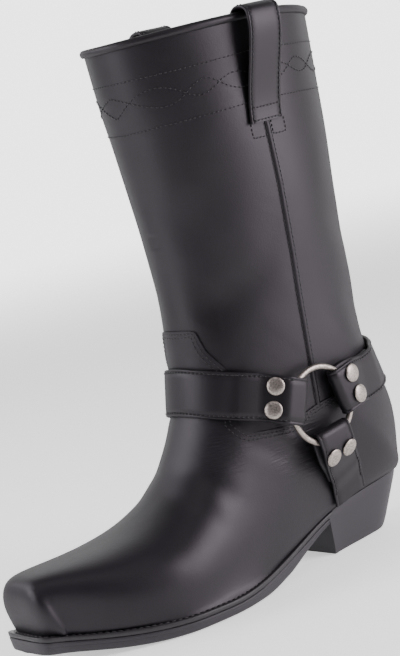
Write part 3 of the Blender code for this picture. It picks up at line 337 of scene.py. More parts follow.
# The boot's outer face as a surface to lay pieces on
class Skin:
    def __init__(self):
        grid, weld = upperGrid(8, 40)
        normal = gridNormals(grid, weld)
        face = grid + normal * foldRelief(grid)[..., None]
        self.tree = self.sheet(face + normal * boot["overlayRise"])
        self.base = self.sheet(face)

    def sheet(self, grid):
        return BVHTree.FromPolygons([Vector(p) for p in grid.reshape(-1, 3)], netFaces(*grid.shape[:2]))

    def cast(self, origin, direction):
        hit = self.tree.ray_cast(Vector(origin), Vector(direction).normalized())
        return None if hit[0] is None else np.array(hit[0])

    def around(self, side, turn, z, bare=False):
        angle = math.radians(turn if side > 0 else 180 - turn)
        way = np.array([math.cos(angle), -math.sin(angle), 0.0])
        start = Vector(np.array([0.0, boot["axisY"], z]) + 0.3 * way)
        place, normal, _, _ = (self.base if bare else self.tree).ray_cast(start, Vector(-way))
        normal = np.array(normal)
        return np.array(place), normal if np.dot(normal, way) > 0 else -normal

    def beside(self, side, y, z):
        return self.cast((side * 0.3, y, z), (-side, 0, 0))

    def nearest(self, point):
        place, normal, _, _ = self.tree.find_nearest(Vector(point))
        normal = np.array(normal)
        if np.dot(np.array(point) - np.array([0.0, boot["axisY"], point[2]]), normal) < 0:
            normal = -normal
        return np.array(place), normal


# Shader helper
# A socket that can be used in a Python expression
class Value:
    def __init__(self, net, socket):
        self.net = net
        self.socket = socket

    def maths(self, kind, other):
        return self.net.add("ShaderNodeMath", {"operation": kind}, {0: self, 1: other})

    def __add__(self, other):
        return self.maths("ADD", other)

    def __mul__(self, other):
        return self.maths("MULTIPLY", other)

    def __pow__(self, other):
        return self.maths("POWER", other)

    def __rpow__(self, other):
        return self.net.add("ShaderNodeMath", {"operation": "POWER"}, {0: other, 1: self})

    __radd__ = __add__
    __rmul__ = __mul__


# A new material: its shader, and one way to add any other node
class Net:
    def __init__(self, name, world=False):
        self.owner = (bpy.data.worlds if world else bpy.data.materials).new(name)
        self.owner.use_nodes = True
        self.tree = self.owner.node_tree
        self.shader = self.tree.nodes["Background" if world else "Principled BSDF"]
        self.places = self.add("ShaderNodeTexCoord", {}, {}, "Generated" if world else "Object")

    def put(self, socket, value):
        if isinstance(value, Value):
            self.tree.links.new(value.socket, socket)
        else:
            socket.default_value = value

    def add(self, kind, settings, inputs, output=0):
        node = self.tree.nodes.new(kind)
        for name, value in settings.items():
            if name == "stops":
                for stop, (at, colour) in zip(node.color_ramp.elements, value):
                    stop.position = at
                    stop.color = colour
            else:
                setattr(node, name, value)
        for name, value in inputs.items():
            self.put(node.inputs[name], value)
        return Value(self, node.outputs[output])

    def set(self, **values):
        for name, value in values.items():
            self.put(self.shader.inputs[name.replace("_", " ")], value)

    def noise(self, scale, detail=4.0, rough=0.55, stretch=(1.0, 1.0, 1.0)):
        at = self.places
        if stretch != (1.0, 1.0, 1.0):
            at = self.add("ShaderNodeMapping", {}, {"Vector": at, "Scale": stretch})
        sockets = {"Vector": at, "Scale": scale, "Detail": detail, "Roughness": rough}
        return self.add("ShaderNodeTexNoise", {}, sockets, "Fac")

    def cells(self, scale):
        sockets = {"Vector": self.places, "Scale": scale}
        return self.add("ShaderNodeTexVoronoi", {"feature": "F1"}, sockets, "Distance")

    def ramp(self, value, low, high):
        stops = [(low, (0, 0, 0, 1)), (high, (1, 1, 1, 1))]
        ramp = self.add("ShaderNodeValToRGB", {"stops": stops}, {"Fac": value}, "Color")
        return self.add("ShaderNodeRGBToBW", {}, {"Color": ramp})

    # One at a place on the boot, fading to nothing at the radius
    def near(self, centre, radius):
        sockets = {0: self.places, 1: centre}
        gap = self.add("ShaderNodeVectorMath", {"operation": "DISTANCE"}, sockets, "Value")
        return self.add("ShaderNodeMapRange", {"interpolation_type": "SMOOTHSTEP"}, {
            "Value": gap, "From Min": radius * 0.35, "From Max": radius, "To Min": 1.0, "To Max": 0.0,
        })

    def blend(self, factor, first, second):
        return self.add("ShaderNodeMix", {"data_type": "RGBA"}, {0: factor, 6: first, 7: second}, 2)

    def bump(self, height, strength, distance, below=None):
        sockets = {"Height": height, "Strength": strength, "Distance": distance}
        if below is not None:
            sockets["Normal"] = below
        return self.add("ShaderNodeBump", {}, sockets, "Normal")


leatherLook = {
    "dark": (0.0020, 0.0017, 0.0026, 1),
    "light": (0.0054, 0.0044, 0.0066, 1),
    "mottle": (0.35, 0.72),
    "roughness": 0.45,
    "edgeRoughness": 0.42,
    "coat": 0.03,
    "coatRoughness": 0.30,
    "shine": 0.36,
    "tint": (1.0, 0.93, 1.0, 1),
    # scale and detail of the noises, scale of the pores
    "cloud": (14.0, 5.0),
    "grain": (420.0, 3.0),
    "pores": 900.0,
    "dents": (22.0, 2.0),
    "creases": (38.0, 55.0, 520.0),
    "wrinkles": [  # place on the vamp, radius
        ((0.044, -0.056, 0.081), 0.034), ((0.034, -0.110, 0.096), 0.024), ((-0.040, -0.060, 0.080), 0.034),
    ],
}


def bootLeather(name, grain=0.35, tone=1.0, rough=0.0, wrinkled=True):
    net = Net(name)
    cloud = net.noise(*leatherLook["cloud"])
    fine = net.noise(*leatherLook["grain"])
    pores = net.cells(leatherLook["pores"])
    dark, light = (tuple(v * tone for v in leatherLook[k][:3]) + (1,) for k in ("dark", "light"))
    net.set(Base_Color=net.blend(net.ramp(cloud, *leatherLook["mottle"]), dark, light))
    slant = net.add("ShaderNodeLayerWeight", {}, {"Blend": 0.5}, "Facing")
    edge = slant ** 3 * leatherLook["edgeRoughness"]
    net.set(Roughness=cloud * 0.14 + fine * 0.08 + edge + (leatherLook["roughness"] + rough - 0.10))
    height = fine * 0.5 + pores * 0.6
    normal = net.bump(height, grain, 0.00016)
    if wrinkled:
        lines = net.noise(1.0, 3.0, 0.6, leatherLook["creases"])
        mask = None
        for centre, radius in leatherLook["wrinkles"]:
            spot = net.near(centre, radius)
            mask = spot if mask is None else mask + spot
        normal = net.bump(lines * mask, 0.55, 0.0011, normal)
        normal = net.bump(net.noise(*leatherLook["dents"]), 0.16, 0.0030, normal)
    net.set(Normal=normal)
    net.set(Coat_Weight=leatherLook["coat"], Coat_Roughness=leatherLook["coatRoughness"])
    net.set(Specular_IOR_Level=leatherLook["shine"], Specular_Tint=leatherLook["tint"])
    return net.owner


def plainFinish(name, colour, roughness, metallic=0.0, mottle=0.0, bumpiness=0.0, scale=200.0):
    net = Net(name)
    speck = net.noise(scale, 4.0)
    second = tuple(max(0.0, v * (1 - mottle)) for v in colour) + (1,)
    net.set(Base_Color=net.blend(net.ramp(speck, 0.35, 0.65), second, tuple(colour) + (1,)))
    net.set(Roughness=speck * 0.2 + (roughness - 0.1))
    net.set(Metallic=metallic)
    if bumpiness:
        net.set(Normal=net.bump(speck, bumpiness, 0.0002))
    return net.owner


finishes = {
    "upper": bootLeather("waxed black leather"),
    "strap": bootLeather("black strap leather", grain=0.30, tone=0.85, rough=0.03, wrinkled=False),
}
# name, colour, roughness, metallic, mottle, bumpiness, scale of the mottle
plainLooks = {
    "thread": ("black waxed thread", (0.007, 0.006, 0.008), 0.5),
    "weltThread": ("worn welt thread", (0.060, 0.056, 0.060), 0.6),
    "rubber": ("matt black rubber", (0.021, 0.018, 0.023), 0.62, 0.0, 0.2, 0.12, 500.0),
    "welt": ("black welt", (0.015, 0.013, 0.016), 0.52, 0.0, 0.2, 0.15, 400.0),
    "lining": ("grey lining leather", (0.055, 0.050, 0.050), 0.62, 0.0, 0.25, 0.2, 300.0),
    "insole": ("tan insole leather", (0.16, 0.115, 0.080), 0.6, 0.0, 0.3, 0.2, 250.0),
    "silver": ("antique silver", (0.42, 0.375, 0.34), 0.42, 1.0, 0.5, 0.25, 900.0),
}
for look, values in plainLooks.items():
    finishes[look] = plainFinish(*values)
print("finishes ready")


def newObject(name, data):
    made = bpy.data.objects.new(name, data)
    bpy.context.scene.collection.objects.link(made)
    return made


def finishPiece(name, verts, faces, look, nodes=(), sharp=40):
    mesh = bpy.data.meshes.new(name)
    mesh.from_pydata([tuple(float(v) for v in p) for p in verts], [], faces)
    mesh.validate()
    bm = bmesh.new()
    bm.from_mesh(mesh)
    bmesh.ops.remove_doubles(bm, verts=bm.verts[:], dist=0.000005)
    bmesh.ops.recalc_face_normals(bm, faces=bm.faces[:])
    bm.to_mesh(mesh)
    bm.free()
    mesh.shade_smooth()
    mesh.set_sharp_from_angle(angle=math.radians(sharp))
    mesh.materials.append(finishes[look])
    piece = newObject(name, mesh)
    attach(piece, "root")
    if nodes:
        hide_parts(*nodes)
    return piece


# Upper
panel = {
    # the vamp's and counter's top edge: degrees round the shaft from the outer side, mm up
    "line": [
        (90, 175.3), (83, 175.2), (76, 174.6), (74.4, 173.0), (73.4, 169.5), (70.6, 160.4), (66.9, 154.4),
        (62.3, 147.7), (60, 137), (60, 122), (61.6, 112.5), (57.2, 105.2), (54.6, 102.4), (44.5, 100.8),
        (27.5, 98.9), (19.3, 103.8), (8, 106.4), (-6.4, 108.2), (-34, 111.6), (-60, 113.6), (-90, 115),
    ],
    "seam": [(4, 104), (4.2, 125), (2.4, 163), (0.6, 210), (0.1, 257), (0.9, 296)],
    # across the side seam's raised ridge: off its middle, lift
    "seamRidge": [
        (-0.0027, -0.0008), (-0.0022, 0.0002), (-0.0013, 0.0011), (0.0, 0.0015),
        (0.0013, 0.0011), (0.0022, 0.0002), (0.0027, -0.0008),
    ],
    "edgeRows": (-0.0019, -0.0043),  # stitch rows, off the panel's edge and off the seam
    "seamRows": (-0.0024, 0.0024),
    "perDegree": 0.00105,
    "lip": 0.0014,
}
# soft folds of the leather: side (0 both), y and z of both ends, depth, width, all in mm
folds = [
    (1, -96, 178, -62, 205, 1.3, 13),
    (1, -60, 190, -38, 236, 1.0, 12),
    (-1, -92, 182, -55, 215, 1.3, 14),
    (0, 30, 150, 12, 176, 1.1, 10),
    (1, 34, 200, 8, 232, 0.8, 12),
    (1, -10, 150, 20, 138, -0.8, 8),
    (1, -104, 230, -80, 262, 0.9, 13),
    (0, -150, 74, -128, 52, 0.7, 8),
    (0, -132, 90, -112, 62, 0.8, 8),
    (1, -92, 96, -62, 78, 0.5, 5),
    (1, -84, 86, -50, 70, 0.4, 4),
    (-1, -90, 98, -56, 72, 0.7, 6),
    (0, -186, 52, -170, 34, -0.5, 10),
    (0, -104, 152, -102, 112, 2.6, 15),
]


# Degrees round the shaft, the same on both sides, and height
def turned(points):
    turn = np.degrees(np.arctan2(-(points[..., 1] - boot["axisY"]), np.abs(points[..., 0])))
    return turn, points[..., 2]


# How far a point is inside (+) or outside (-) the vamp and counter, in metres
def panelLevel(points):
    turn, z = turned(points)
    u = turn * panel["perDegree"]
    line = [(a * panel["perDegree"], h / 1000) for a, h in panel["line"]]
    gap = np.full(u.shape, 9.0)
    crossings = np.zeros(u.shape, int)
    for (u0, z0), (u1, z1) in zip(line, line[1:]):
        du, dz = u1 - u0, z1 - z0
        t = np.clip(((u - u0) * du + (z - z0) * dz) / (du * du + dz * dz), 0, 1)
        gap = np.minimum(gap, np.hypot(u - u0 - t * du, z - z0 - t * dz))
        between = (np.minimum(u0, u1) <= u) & (u < np.maximum(u0, u1))
        height = z0 + (u - u0) / (du if abs(du) > 1e-9 else 1e-9) * dz
        crossings += between & (height < z)
    edge = np.maximum(line[-1][0], np.minimum(line[0][0], u))
    outside = (crossings % 2 == 1) | ((edge != u) & (z > line[0][1]))
    return np.where(outside, -gap, gap)


def foldRelief(points):
    relief = np.zeros(points.shape[:2])
    for side, y0, z0, y1, z1, depth, wide in folds:
        a = np.array([y0, z0]) / 1000
        run = np.array([y1 - y0, z1 - z0]) / 1000
        rel = points[..., 1:] - a
        t = np.clip(rel @ run / (run @ run), 0, 1)
        gap = np.linalg.norm(rel - t[..., None] * run, axis=2) * 1000 / wide
        ends = np.sin(np.clip(t * 0.8 + 0.1, 0, 1) * math.pi)
        sign = 1.0 if side == 0 else (points[..., 0] * side > 0).astype(float)
        relief -= depth / 1000 * np.exp(-(gap**2)) * ends * sign
    # slow unevenness of a hand-lasted shaft
    x, y, z = points[..., 0], points[..., 1], points[..., 2]
    wave = np.sin(z * 38 + x * 22 + 0.7) * np.sin(y * 46 - z * 13 + 1.9)
    high = np.clip((z - 0.12) / 0.08, 0, 1) * np.clip((0.33 - z) / 0.05, 0, 1)
    return relief + 0.0006 * wave * high


def makeUpper():
    steps, columns = ((14, 60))
    grid, weld = upperGrid(steps, columns)
    rows, across = grid.shape[:2]
    normal = gridNormals(grid, weld)
    relief = foldRelief(grid)
    relief[:, :2] *= 0.2
    relief[:, -2:] *= 0.2
    relief[weld:, 0] = relief[weld:, -1]
    face = grid + normal * relief[..., None]
    level = panelLevel(grid)
    rise = normal * boot["overlayRise"]
    verts = []
    faces = []
    place = {}

    def corner(i, j, raised):
        if i >= weld and j == across - 1:
            j = 0
        key = (i, j, raised)
        if key not in place:
            place[key] = len(verts)
            verts.append(face[i, j] + (rise[i, j] if raised else 0))
        return place[key]

    def cut(a, b, raised):
        a, b = min(a, b), max(a, b)
        key = (a, b, raised)
        if key not in place:
            t = level[a] / (level[a] - level[b])
            point = face[a] * (1 - t) + face[b] * t
            lift = rise[a] * (1 - t) + rise[b] * t
            place[key] = len(verts)
            verts.append(point + (lift if raised else 0))
        return place[key]

    for i in range(rows - 1):
        for j in range(across - 1):
            ring = [(i, j), (i, j + 1), (i + 1, j + 1), (i + 1, j)]
            raised = []
            low = []
            split = []
            for a, b in zip(ring, ring[1:] + ring[:1]):
                (raised if level[a] >= 0 else low).append(corner(*a, level[a] >= 0))
                if (level[a] >= 0) != (level[b] >= 0):
                    raised.append(cut(a, b, True))
                    low.append(cut(a, b, False))
                    split.append((a, b))
            for part in (raised, low):
                if len(part) >= 3:
                    faces.append(part)
            if len(split) == 2:
                first, second = split
                step = [cut(*first, False), cut(*second, False), cut(*second, True), cut(*first, True)]
                faces.append(step)
    # a lip turned in at the feather edge and at the rim
    foot = [(0, j) for j in range(across)] + [(i, across - 1) for i in range(1, weld + 1)]
    foot += [(i, 0) for i in range(weld - 1, -1, -1)]
    rim = [(rows - 1, j) for j in range(across)]
    for loop, raised in ((foot, True), (rim, False)):
        inner = []
        for a in loop:
            inner.append(len(verts))
            verts.append(face[a] - normal[a] * panel["lip"])
        for k in range(len(loop) - 1):
            faces.append([corner(*loop[k], raised), corner(*loop[k + 1], raised), inner[k + 1], inner[k]])
    finishPiece("upperLeather", verts, faces, "upper", ["upper"], sharp=50)
    # the lining, seen down the shaft
    grid, weld = upperGrid(3, 22)
    inside = grid - gridNormals(grid, weld) * boot["wall"]
    finishPiece("shaftLining", inside.reshape(-1, 3), netFaces(*grid.shape[:2]), "lining")


# Stitches: pitch, length, thickness, share sunk in
sewing = {
    "edge": (0.0031, 0.0023, 0.0007, 0.25),
    "seam": (0.0029, 0.0021, 0.0006, 0.25),
    "band": (0.0031, 0.0020, 0.0008, 0.1),
    "square": (0.0027, 0.0020, 0.0009, 0.1),
    "strap": (0.0031, 0.0020, 0.0009, 0.25),
    "bar": (0.0028, 0.0024, 0.0012, 0.25),
    "welt": (0.0042, 0.0031, 0.0008, 0.25),
}


# Small sunk stitches along any number of lines, kept as one piece
class Stitching:
    def __init__(self):
        self.verts = []
        self.faces = []

    def along(self, path, normals, kind):
        pitch, length, thick, sink = sewing[kind]
        path = np.asarray(path, float)
        normals = np.asarray(normals, float)
        marks = gone(path)
        count = max(1, int(marks[-1] / pitch))
        for centre in (np.arange(count) + 0.5) * marks[-1] / count:
            ends = [self.at(path, marks, centre + s * length / 2) for s in (-1, 1)]
            out = self.at(normals, marks, centre)
            out = out / np.linalg.norm(out)
            run = ends[1] - ends[0]
            side = np.cross(run, out)
            side /= np.linalg.norm(side)
            first = len(self.verts)
            self.verts.append(ends[0] - out * thick * 0.5)
            for share, scale in ((0.12, 0.75), (0.5, 1.0), (0.88, 0.75)):
                middle = ends[0] + run * share + out * thick * (0.5 - sink) * scale
                for c, s in circle(5):
                    self.verts.append(middle + (side * c + out * s) * thick / 2 * scale)
            self.verts.append(ends[1] - out * thick * 0.5)
            for k in range(5):
                n = (k + 1) % 5
                self.faces.append([first, first + 1 + k, first + 1 + n])
                for ring in (0, 5):
                    a = first + 1 + ring
                    self.faces.append([a + k, a + 5 + k, a + 5 + n, a + n])
                self.faces.append([first + 16, first + 11 + n, first + 11 + k])

    def at(self, values, marks, where):
        return np.array([np.interp(where, marks, values[:, k]) for k in range(3)])

    def finish(self, name, look="thread"):
        finishPiece(name, self.verts, self.faces, look, sharp=80)


# A given line as closely spaced points
def dense(points, gap=0.0025):
    points = np.asarray(points, float)
    made = [points[0]]
    for a, b in zip(points, points[1:]):
        count = max(1, int(np.linalg.norm(b - a) / gap))
        made += [a + (b - a) * k / count for k in range(1, count + 1)]
    return np.array(made)


# A line given in degrees and mm laid on one side of the boot, moved over by an offset
def roundShaft(skin, line, side, off=0.0, bare=True, lift=0.0):
    flat = np.array([(a * panel["perDegree"], h / 1000) for a, h in line])
    flat = dense(flat)
    if off:
        run = unit(np.gradient(flat, axis=0))
        for _ in range(3):
            run = np.concatenate([run[:1], (run[:-2] + run[1:-1] + run[2:]) / 3, run[-1:]])
        flat = flat + np.stack([run[:, 1], -run[:, 0]], 1) * off
    path = []
    normals = []
    for u, z in flat:
        place, out = skin.around(side, u / panel["perDegree"], z, bare)
        path.append(place + out * lift)
        normals.append(out)
    return np.array(path), np.array(normals)


band = {
    "top": [(90, 340.5), (45, 341), (0, 343), (-45, 340.5), (-90, 338.5)],
    "bottom": [(90, 307), (45, 309), (0, 311), (-45, 309), (-90, 307.5)],
    "first": [
        (90, 318), (84, 322.5), (72, 331), (62, 332.5), (52, 328), (43, 322.4), (36, 323.5),
        (27, 329), (18, 331.8), (8, 329.5), (0, 324),
    ],
    # the two small squares under the pull loop: from and to in degrees, then up
    "squares": [(-14.5, -3.0), (2.4, 13.9)],
    "squareUp": (297, 287),
    "second": [
        (90, 332), (84, 329.5), (76, 325.5), (66, 321), (59, 320), (50, 324.4), (42, 331),
        (36, 332.2), (29, 328), (18, 321.8), (8, 322), (0, 327),
    ],
}


def curved(line, count=60):
    line = np.array(line, float)
    marks = gone(line)
    fine = np.linspace(0, marks[-1], count)
    return np.stack([smoothCurve(marks, line[:, k], fine) for k in range(2)], 1)


def makeUpperStitches(skin):
    stitches = Stitching()
    high, low = band["squareUp"]
    for side in (1, -1):
        for off in panel["edgeRows"]:
            stitches.along(*roundShaft(skin, panel["line"], side, off, bare=False), "edge")
        for off in panel["seamRows"]:
            stitches.along(*roundShaft(skin, panel["seam"], side, off, lift=0.0003), "seam")
        lines = [band["top"], band["bottom"]]
        for wave in (curved(band["first"]), curved(band["second"])):
            lines += [wave, np.stack([-wave[::-1, 0], wave[::-1, 1]], 1)]
        for line in lines:
            stitches.along(*roundShaft(skin, line, side), "band")
        for a, b in band["squares"]:
            stitches.along(*roundShaft(skin, [(a, high), (a, low), (b, low), (b, high)], side), "square")
    stitches.finish("upperStitching")


# A raised seam up each side of the shaft, a rounded strip of the same leather
def makeSideSeams(skin):
    for side, label in sides:
        verts = []
        rows = [roundShaft(skin, panel["seam"], side, off) for off, _ in panel["seamRidge"]]
        count = min(len(path) for path, _ in rows)
        for i in range(count):
            for (path, normals), (_, lift) in zip(rows, panel["seamRidge"]):
                verts.append(path[i] + normals[i] * lift)
        faces = netFaces(count, len(rows))
        finishPiece("sideSeam_" + label, verts, faces, "upper", sharp=60)


skin = Skin()
makeUpper()
makeSideSeams(skin)
makeUpperStitches(skin)
print("upper ready")


# Straps
harness = {
    "strapWidth": 0.031,
    "lowWidth": 0.0285,
    "thick": 0.0023,
    "tail": 0.031,
    # past the tail's end the strap comes down: share of the tail, height left
    "settle": [(1.05, 1.0), (1.13, 0.75), (1.21, 0.5), (1.31, 0.15), (1.40, 0.0)],
    "gap": 0.0003,
    "rest": 0.0005,
    "soleGap": 0.0004,
    "ringRadius": 0.0252,
    "wire": 0.0040,
    "frontWay": np.array([0.0, -0.930, 0.368]),
    "backWay": np.array([0.0, 0.975, 0.222]),
    "lowWay": np.array([0.0, 0.130, -0.9915]),
    "frontRoute": [(41, 0.329), (52, 0.341), (65, 0.353), (78, 0.363), (90, 0.367)],
    "backRoute": [(-33, 0.308), (-48, 0.314), (-66, 0.319), (-90, 0.322)],
    "lowRoute": [(0.745, 0.200), (0.765, 0.158), (0.780, 0.128), (0.788, 0.106)],
    "lowEase": 0.90,
    "lowEnd": (0.003, 0.006, 0.009, 0.012),
    "stitchIn": 0.0021,
}


# A strap's way over the boot: place, run, outward and across at each length
class StrapWay:
    def __init__(self, skin, points, wide):
        points = np.array(points)
        marks = gone(points)
        self.length = marks[-1]
        self.at = np.linspace(0, self.length, int(self.length / 0.004) + 2)
        line = np.stack([smoothCurve(marks, points[:, k], self.at) for k in range(3)], 1)
        run = unit(np.gradient(line, axis=0))
        spots = [skin.nearest(point) for point in line]
        self.place = np.array([spot[0] for spot in spots])
        out = np.array([spot[1] for spot in spots])
        for _ in range(3):
            spread = padded(out)
            out = spread[:-2] + 2 * spread[1:-1] + spread[2:]
            out = unit(out - run * np.sum(out * run, axis=1, keepdims=True))
        self.run, self.out = run, out
        self.across = np.cross(run, out)
        self.rest(skin, wide)

    def rest(self, skin, wide):
        shares = np.linspace(-0.5, 0.5, 9) * wide
        lift, tip = [], []
        for i in range(len(self.at)):
            heights = []
            for share in shares:
                hit = skin.cast(self.place[i] + self.across[i] * share + self.out[i] * 0.03, -self.out[i])
                heights.append(-0.05 if hit is None else float(np.dot(hit - self.place[i], self.out[i])))
            best = (heights[4], 0.0)
            for a in range(4):
                for b in range(5, 9):
                    slope = (heights[b] - heights[a]) / (shares[b] - shares[a])
                    level = heights[a] - slope * shares[a]
                    if level > best[0]:
                        best = (level, slope)
            if best[1] == 0.0:
                least = max((heights[b] - heights[4]) / shares[b] for b in range(5, 9))
                most = min((heights[a] - heights[4]) / shares[a] for a in range(4))
                best = (heights[4], (least + most) / 2)
            lift.append(best[0])
            tip.append(best[1])
        lift, tip = np.array(lift), np.array(tip)
        for _ in range(2):
            spread = padded(lift)
            lift = np.maximum(lift, (spread[:-2] + spread[2:]) / 2)
            spread = padded(tip)
            tip = (spread[:-2] + 2 * spread[1:-1] + spread[2:]) / 4
        self.lift, self.tip = lift, tip

    def frame(self, at):
        inside = min(max(at, 0.0), self.length)
        place, run, out = (
            np.array([np.interp(inside, self.at, rows[:, k]) for k in range(3)])
            for rows in (self.place, self.run, self.out)
        )
        out /= np.linalg.norm(out)
        run -= out * np.dot(run, out)
        run /= np.linalg.norm(run)
        place = place + run * (at - inside) + out * float(np.interp(inside, self.at, self.lift))
        across = np.cross(run, out) + out * float(np.interp(inside, self.at, self.tip))
        return place, run, out, across / np.linalg.norm(across)


# The strap's middle line from its tail, round the ring and back on to the boot
def foldedEnd(way, ring, towards, side, wide, ease=0.55):
    outward = np.array([side, 0.0, 0.0])
    wire = ring + towards * harness["ringRadius"]
    tangent = np.cross(towards, outward)
    if np.dot(tangent, way.frame(0.0)[3]) < 0:
        tangent = -tangent
    inner = harness["ringRadius"] - harness["wire"] / 2
    chord = inner - math.sqrt(inner**2 - (wide / 2) ** 2)
    turn = harness["wire"] / 2 + 2 * harness["gap"] + harness["thick"] / 2
    low = harness["rest"] + harness["thick"] / 2
    high = low + harness["thick"] + harness["gap"]
    shares = np.concatenate([np.linspace(0.08, 0.54, 11), [0.60, 0.68, 0.78, 0.90, 1.0]])
    stations = [(share, -turn, low) for share in shares[::-1]]
    for angle in np.linspace(-math.pi / 2, math.pi / 2, 15):
        stations.append((-(chord + turn * math.cos(angle)) / harness["tail"], turn * math.sin(angle), 0.0))
    stations += [(share, turn, high) for share in shares]
    stations += [(share, turn, low * (1 - up) + high * up) for share, up in harness["settle"]]
    centres, across = [], []
    for share, off, height in stations:
        at = share * harness["tail"]
        mix = min(max((share - 0.08) / ease, 0.0), 1.0)
        mix = mix * mix * (3 - 2 * mix)
        place, _, out, beside = way.frame(at)
        centres.append((wire + towards * at + outward * off) * (1 - mix) + (place + out * height) * mix)
        beside = tangent * (1 - mix) + beside * mix
        across.append(beside / np.linalg.norm(beside))
    return centres, across, harness["settle"][-1][0] * harness["tail"], len(shares) + 15


# A strap's cut end: round edges, and a shallow groove pressed in by each stitch line
def stripSection(wide, thick):
    w, t, r = wide / 2, thick / 2, 0.0007
    half = [(w, -t + r), (w, t - r), (w - 0.3 * r, t - 0.3 * r), (w - r, t), (w - 0.0014, t)]
    half += [(w - 0.0021, t - 0.0004), (w - 0.0028, t), (w - 0.006, t + 0.00012)]
    top = half + [(-a, b) for a, b in half[::-1]]
    return top + [(-w + r, -t), (w - r, -t)]


# A strap of even width, with its two rows of stitches over the stated stations
def strapPiece(name, centres, across, lift, wide, thick, node, sewn):
    centres = np.array(centres)
    across = np.array(across)
    normal = unit(np.cross(across, unit(np.gradient(centres, axis=0))))
    if np.dot(normal[lift[0]], lift[1]) < 0:
        normal = -normal
    section = stripSection(wide, thick)
    verts = []
    for centre, side, out in zip(centres, across, normal):
        for off, level in section:
            verts.append(centre + side * off + out * level)
    faces = netFaces(len(centres), len(section), closed=True, ends=(0, len(centres) - 1))
    piece = finishPiece(name, verts, faces, "strap", [node], sharp=50)
    stitches = Stitching()
    first, last = sewn
    for share in (-1, 1):
        line = centres + across * share * (wide / 2 - harness["stitchIn"]) + normal * (thick / 2)
        stitches.along(line[first:last], normal[first:last], "strap")
    stitches.finish(name + "Stitching")
    return piece


def makeHarness(skin):
    rings = {}
    for side, label in sides:
        low, high = (np.array(corner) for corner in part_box("ring_" + label))
        rings[side] = (low + high) / 2
    thick = harness["thick"]
    bed = harness["rest"] + thick / 2
    wide = harness["strapWidth"]
    for label in ("front", "back"):
        towards = harness[label + "Way"]
        halves = []
        for side in (1, -1):
            points = [skin.nearest(rings[side] + towards * harness["ringRadius"])[0]]
            for turn, up in harness[label + "Route"]:
                points.append(skin.around(side, turn, up * size)[0])
            halves.append(points)
        whole = halves[0] + halves[1][::-1][1:]
        way = StrapWay(skin, whole, wide)
        back = StrapWay(skin, whole[::-1], wide)
        centres, across, start, sewn = foldedEnd(way, rings[1], towards, 1, wide)
        second, secondAcross, end, _ = foldedEnd(back, rings[-1], towards, -1, wide)
        for at in np.linspace(start, way.length - end, 40)[1:-1]:
            spot, _, out, beside = way.frame(at)
            centres.append(spot + out * bed)
            across.append(beside)
        centres += second[::-1]
        across += [-beside for beside in secondAcross[::-1]]
        lift = (len(centres) // 2, way.frame(way.length / 2)[2])
        sewnRows = (sewn, len(centres) - sewn)
        strapPiece(label + "Strap", centres, across, lift, wide, thick, "strap_" + label, sewnRows)
    towards = harness["lowWay"]
    wide = harness["lowWidth"]
    for side, label in sides:
        points = [skin.nearest(rings[side] + towards * harness["ringRadius"])[0]]
        for along, up in harness["lowRoute"]:
            points.append(skin.beside(side, toeFront + along * boot["soleLength"], up * size))
        way = StrapWay(skin, points, wide)
        centres, across, start, sewn = foldedEnd(way, rings[side], towards, side, wide, harness["lowEase"])
        for extra in harness["lowEnd"]:
            spot, _, out, beside = way.frame(start + extra)
            centres.append(spot + out * bed)
            across.append(beside)
        lift = (len(centres) - 4, way.frame(start)[2])
        node = "strap_low_" + label
        sewnRows = (sewn, len(centres) - 3)
        trimToSole(strapPiece("lowStrap_" + label, centres, across, lift, wide, thick, node, sewnRows))
    return rings


# Cut the strap's foot off along the sole's top, and close the cut
def trimToSole(strap):
    y = strap.data.vertices[-1].co.y
    z = float(soleTop(y)) + harness["soleGap"]
    slope = float(soleTop(y + 0.01) - soleTop(y - 0.01)) / 0.02
    bm = bmesh.new()
    bm.from_mesh(strap.data)
    cut = bmesh.ops.bisect_plane(
        bm, geom=bm.verts[:] + bm.edges[:] + bm.faces[:], plane_co=(0, y, z),
        plane_no=(0, slope, -1), clear_outer=True,
    )
    bmesh.ops.holes_fill(bm, edges=[e for e in cut["geom_cut"] if isinstance(e, bmesh.types.BMEdge)])
    bm.to_mesh(strap.data)
    bm.free()


def makeRings(rings):
    around, section = circle(96), circle(20)
    half = harness["wire"] / 2
    for side, label in sides:
        verts = []
        for y, z in around:
            for off, aside in section:
                spoke = np.array([0.0, y, z]) * (harness["ringRadius"] + half * off)
                verts.append(rings[side] + spoke + np.array([half * aside, 0, 0]))
        faces = netFaces(len(around), len(section), closed=True, looped=True)
        finishPiece("ring" + label.title(), verts, faces, "silver", ["ring_" + label])


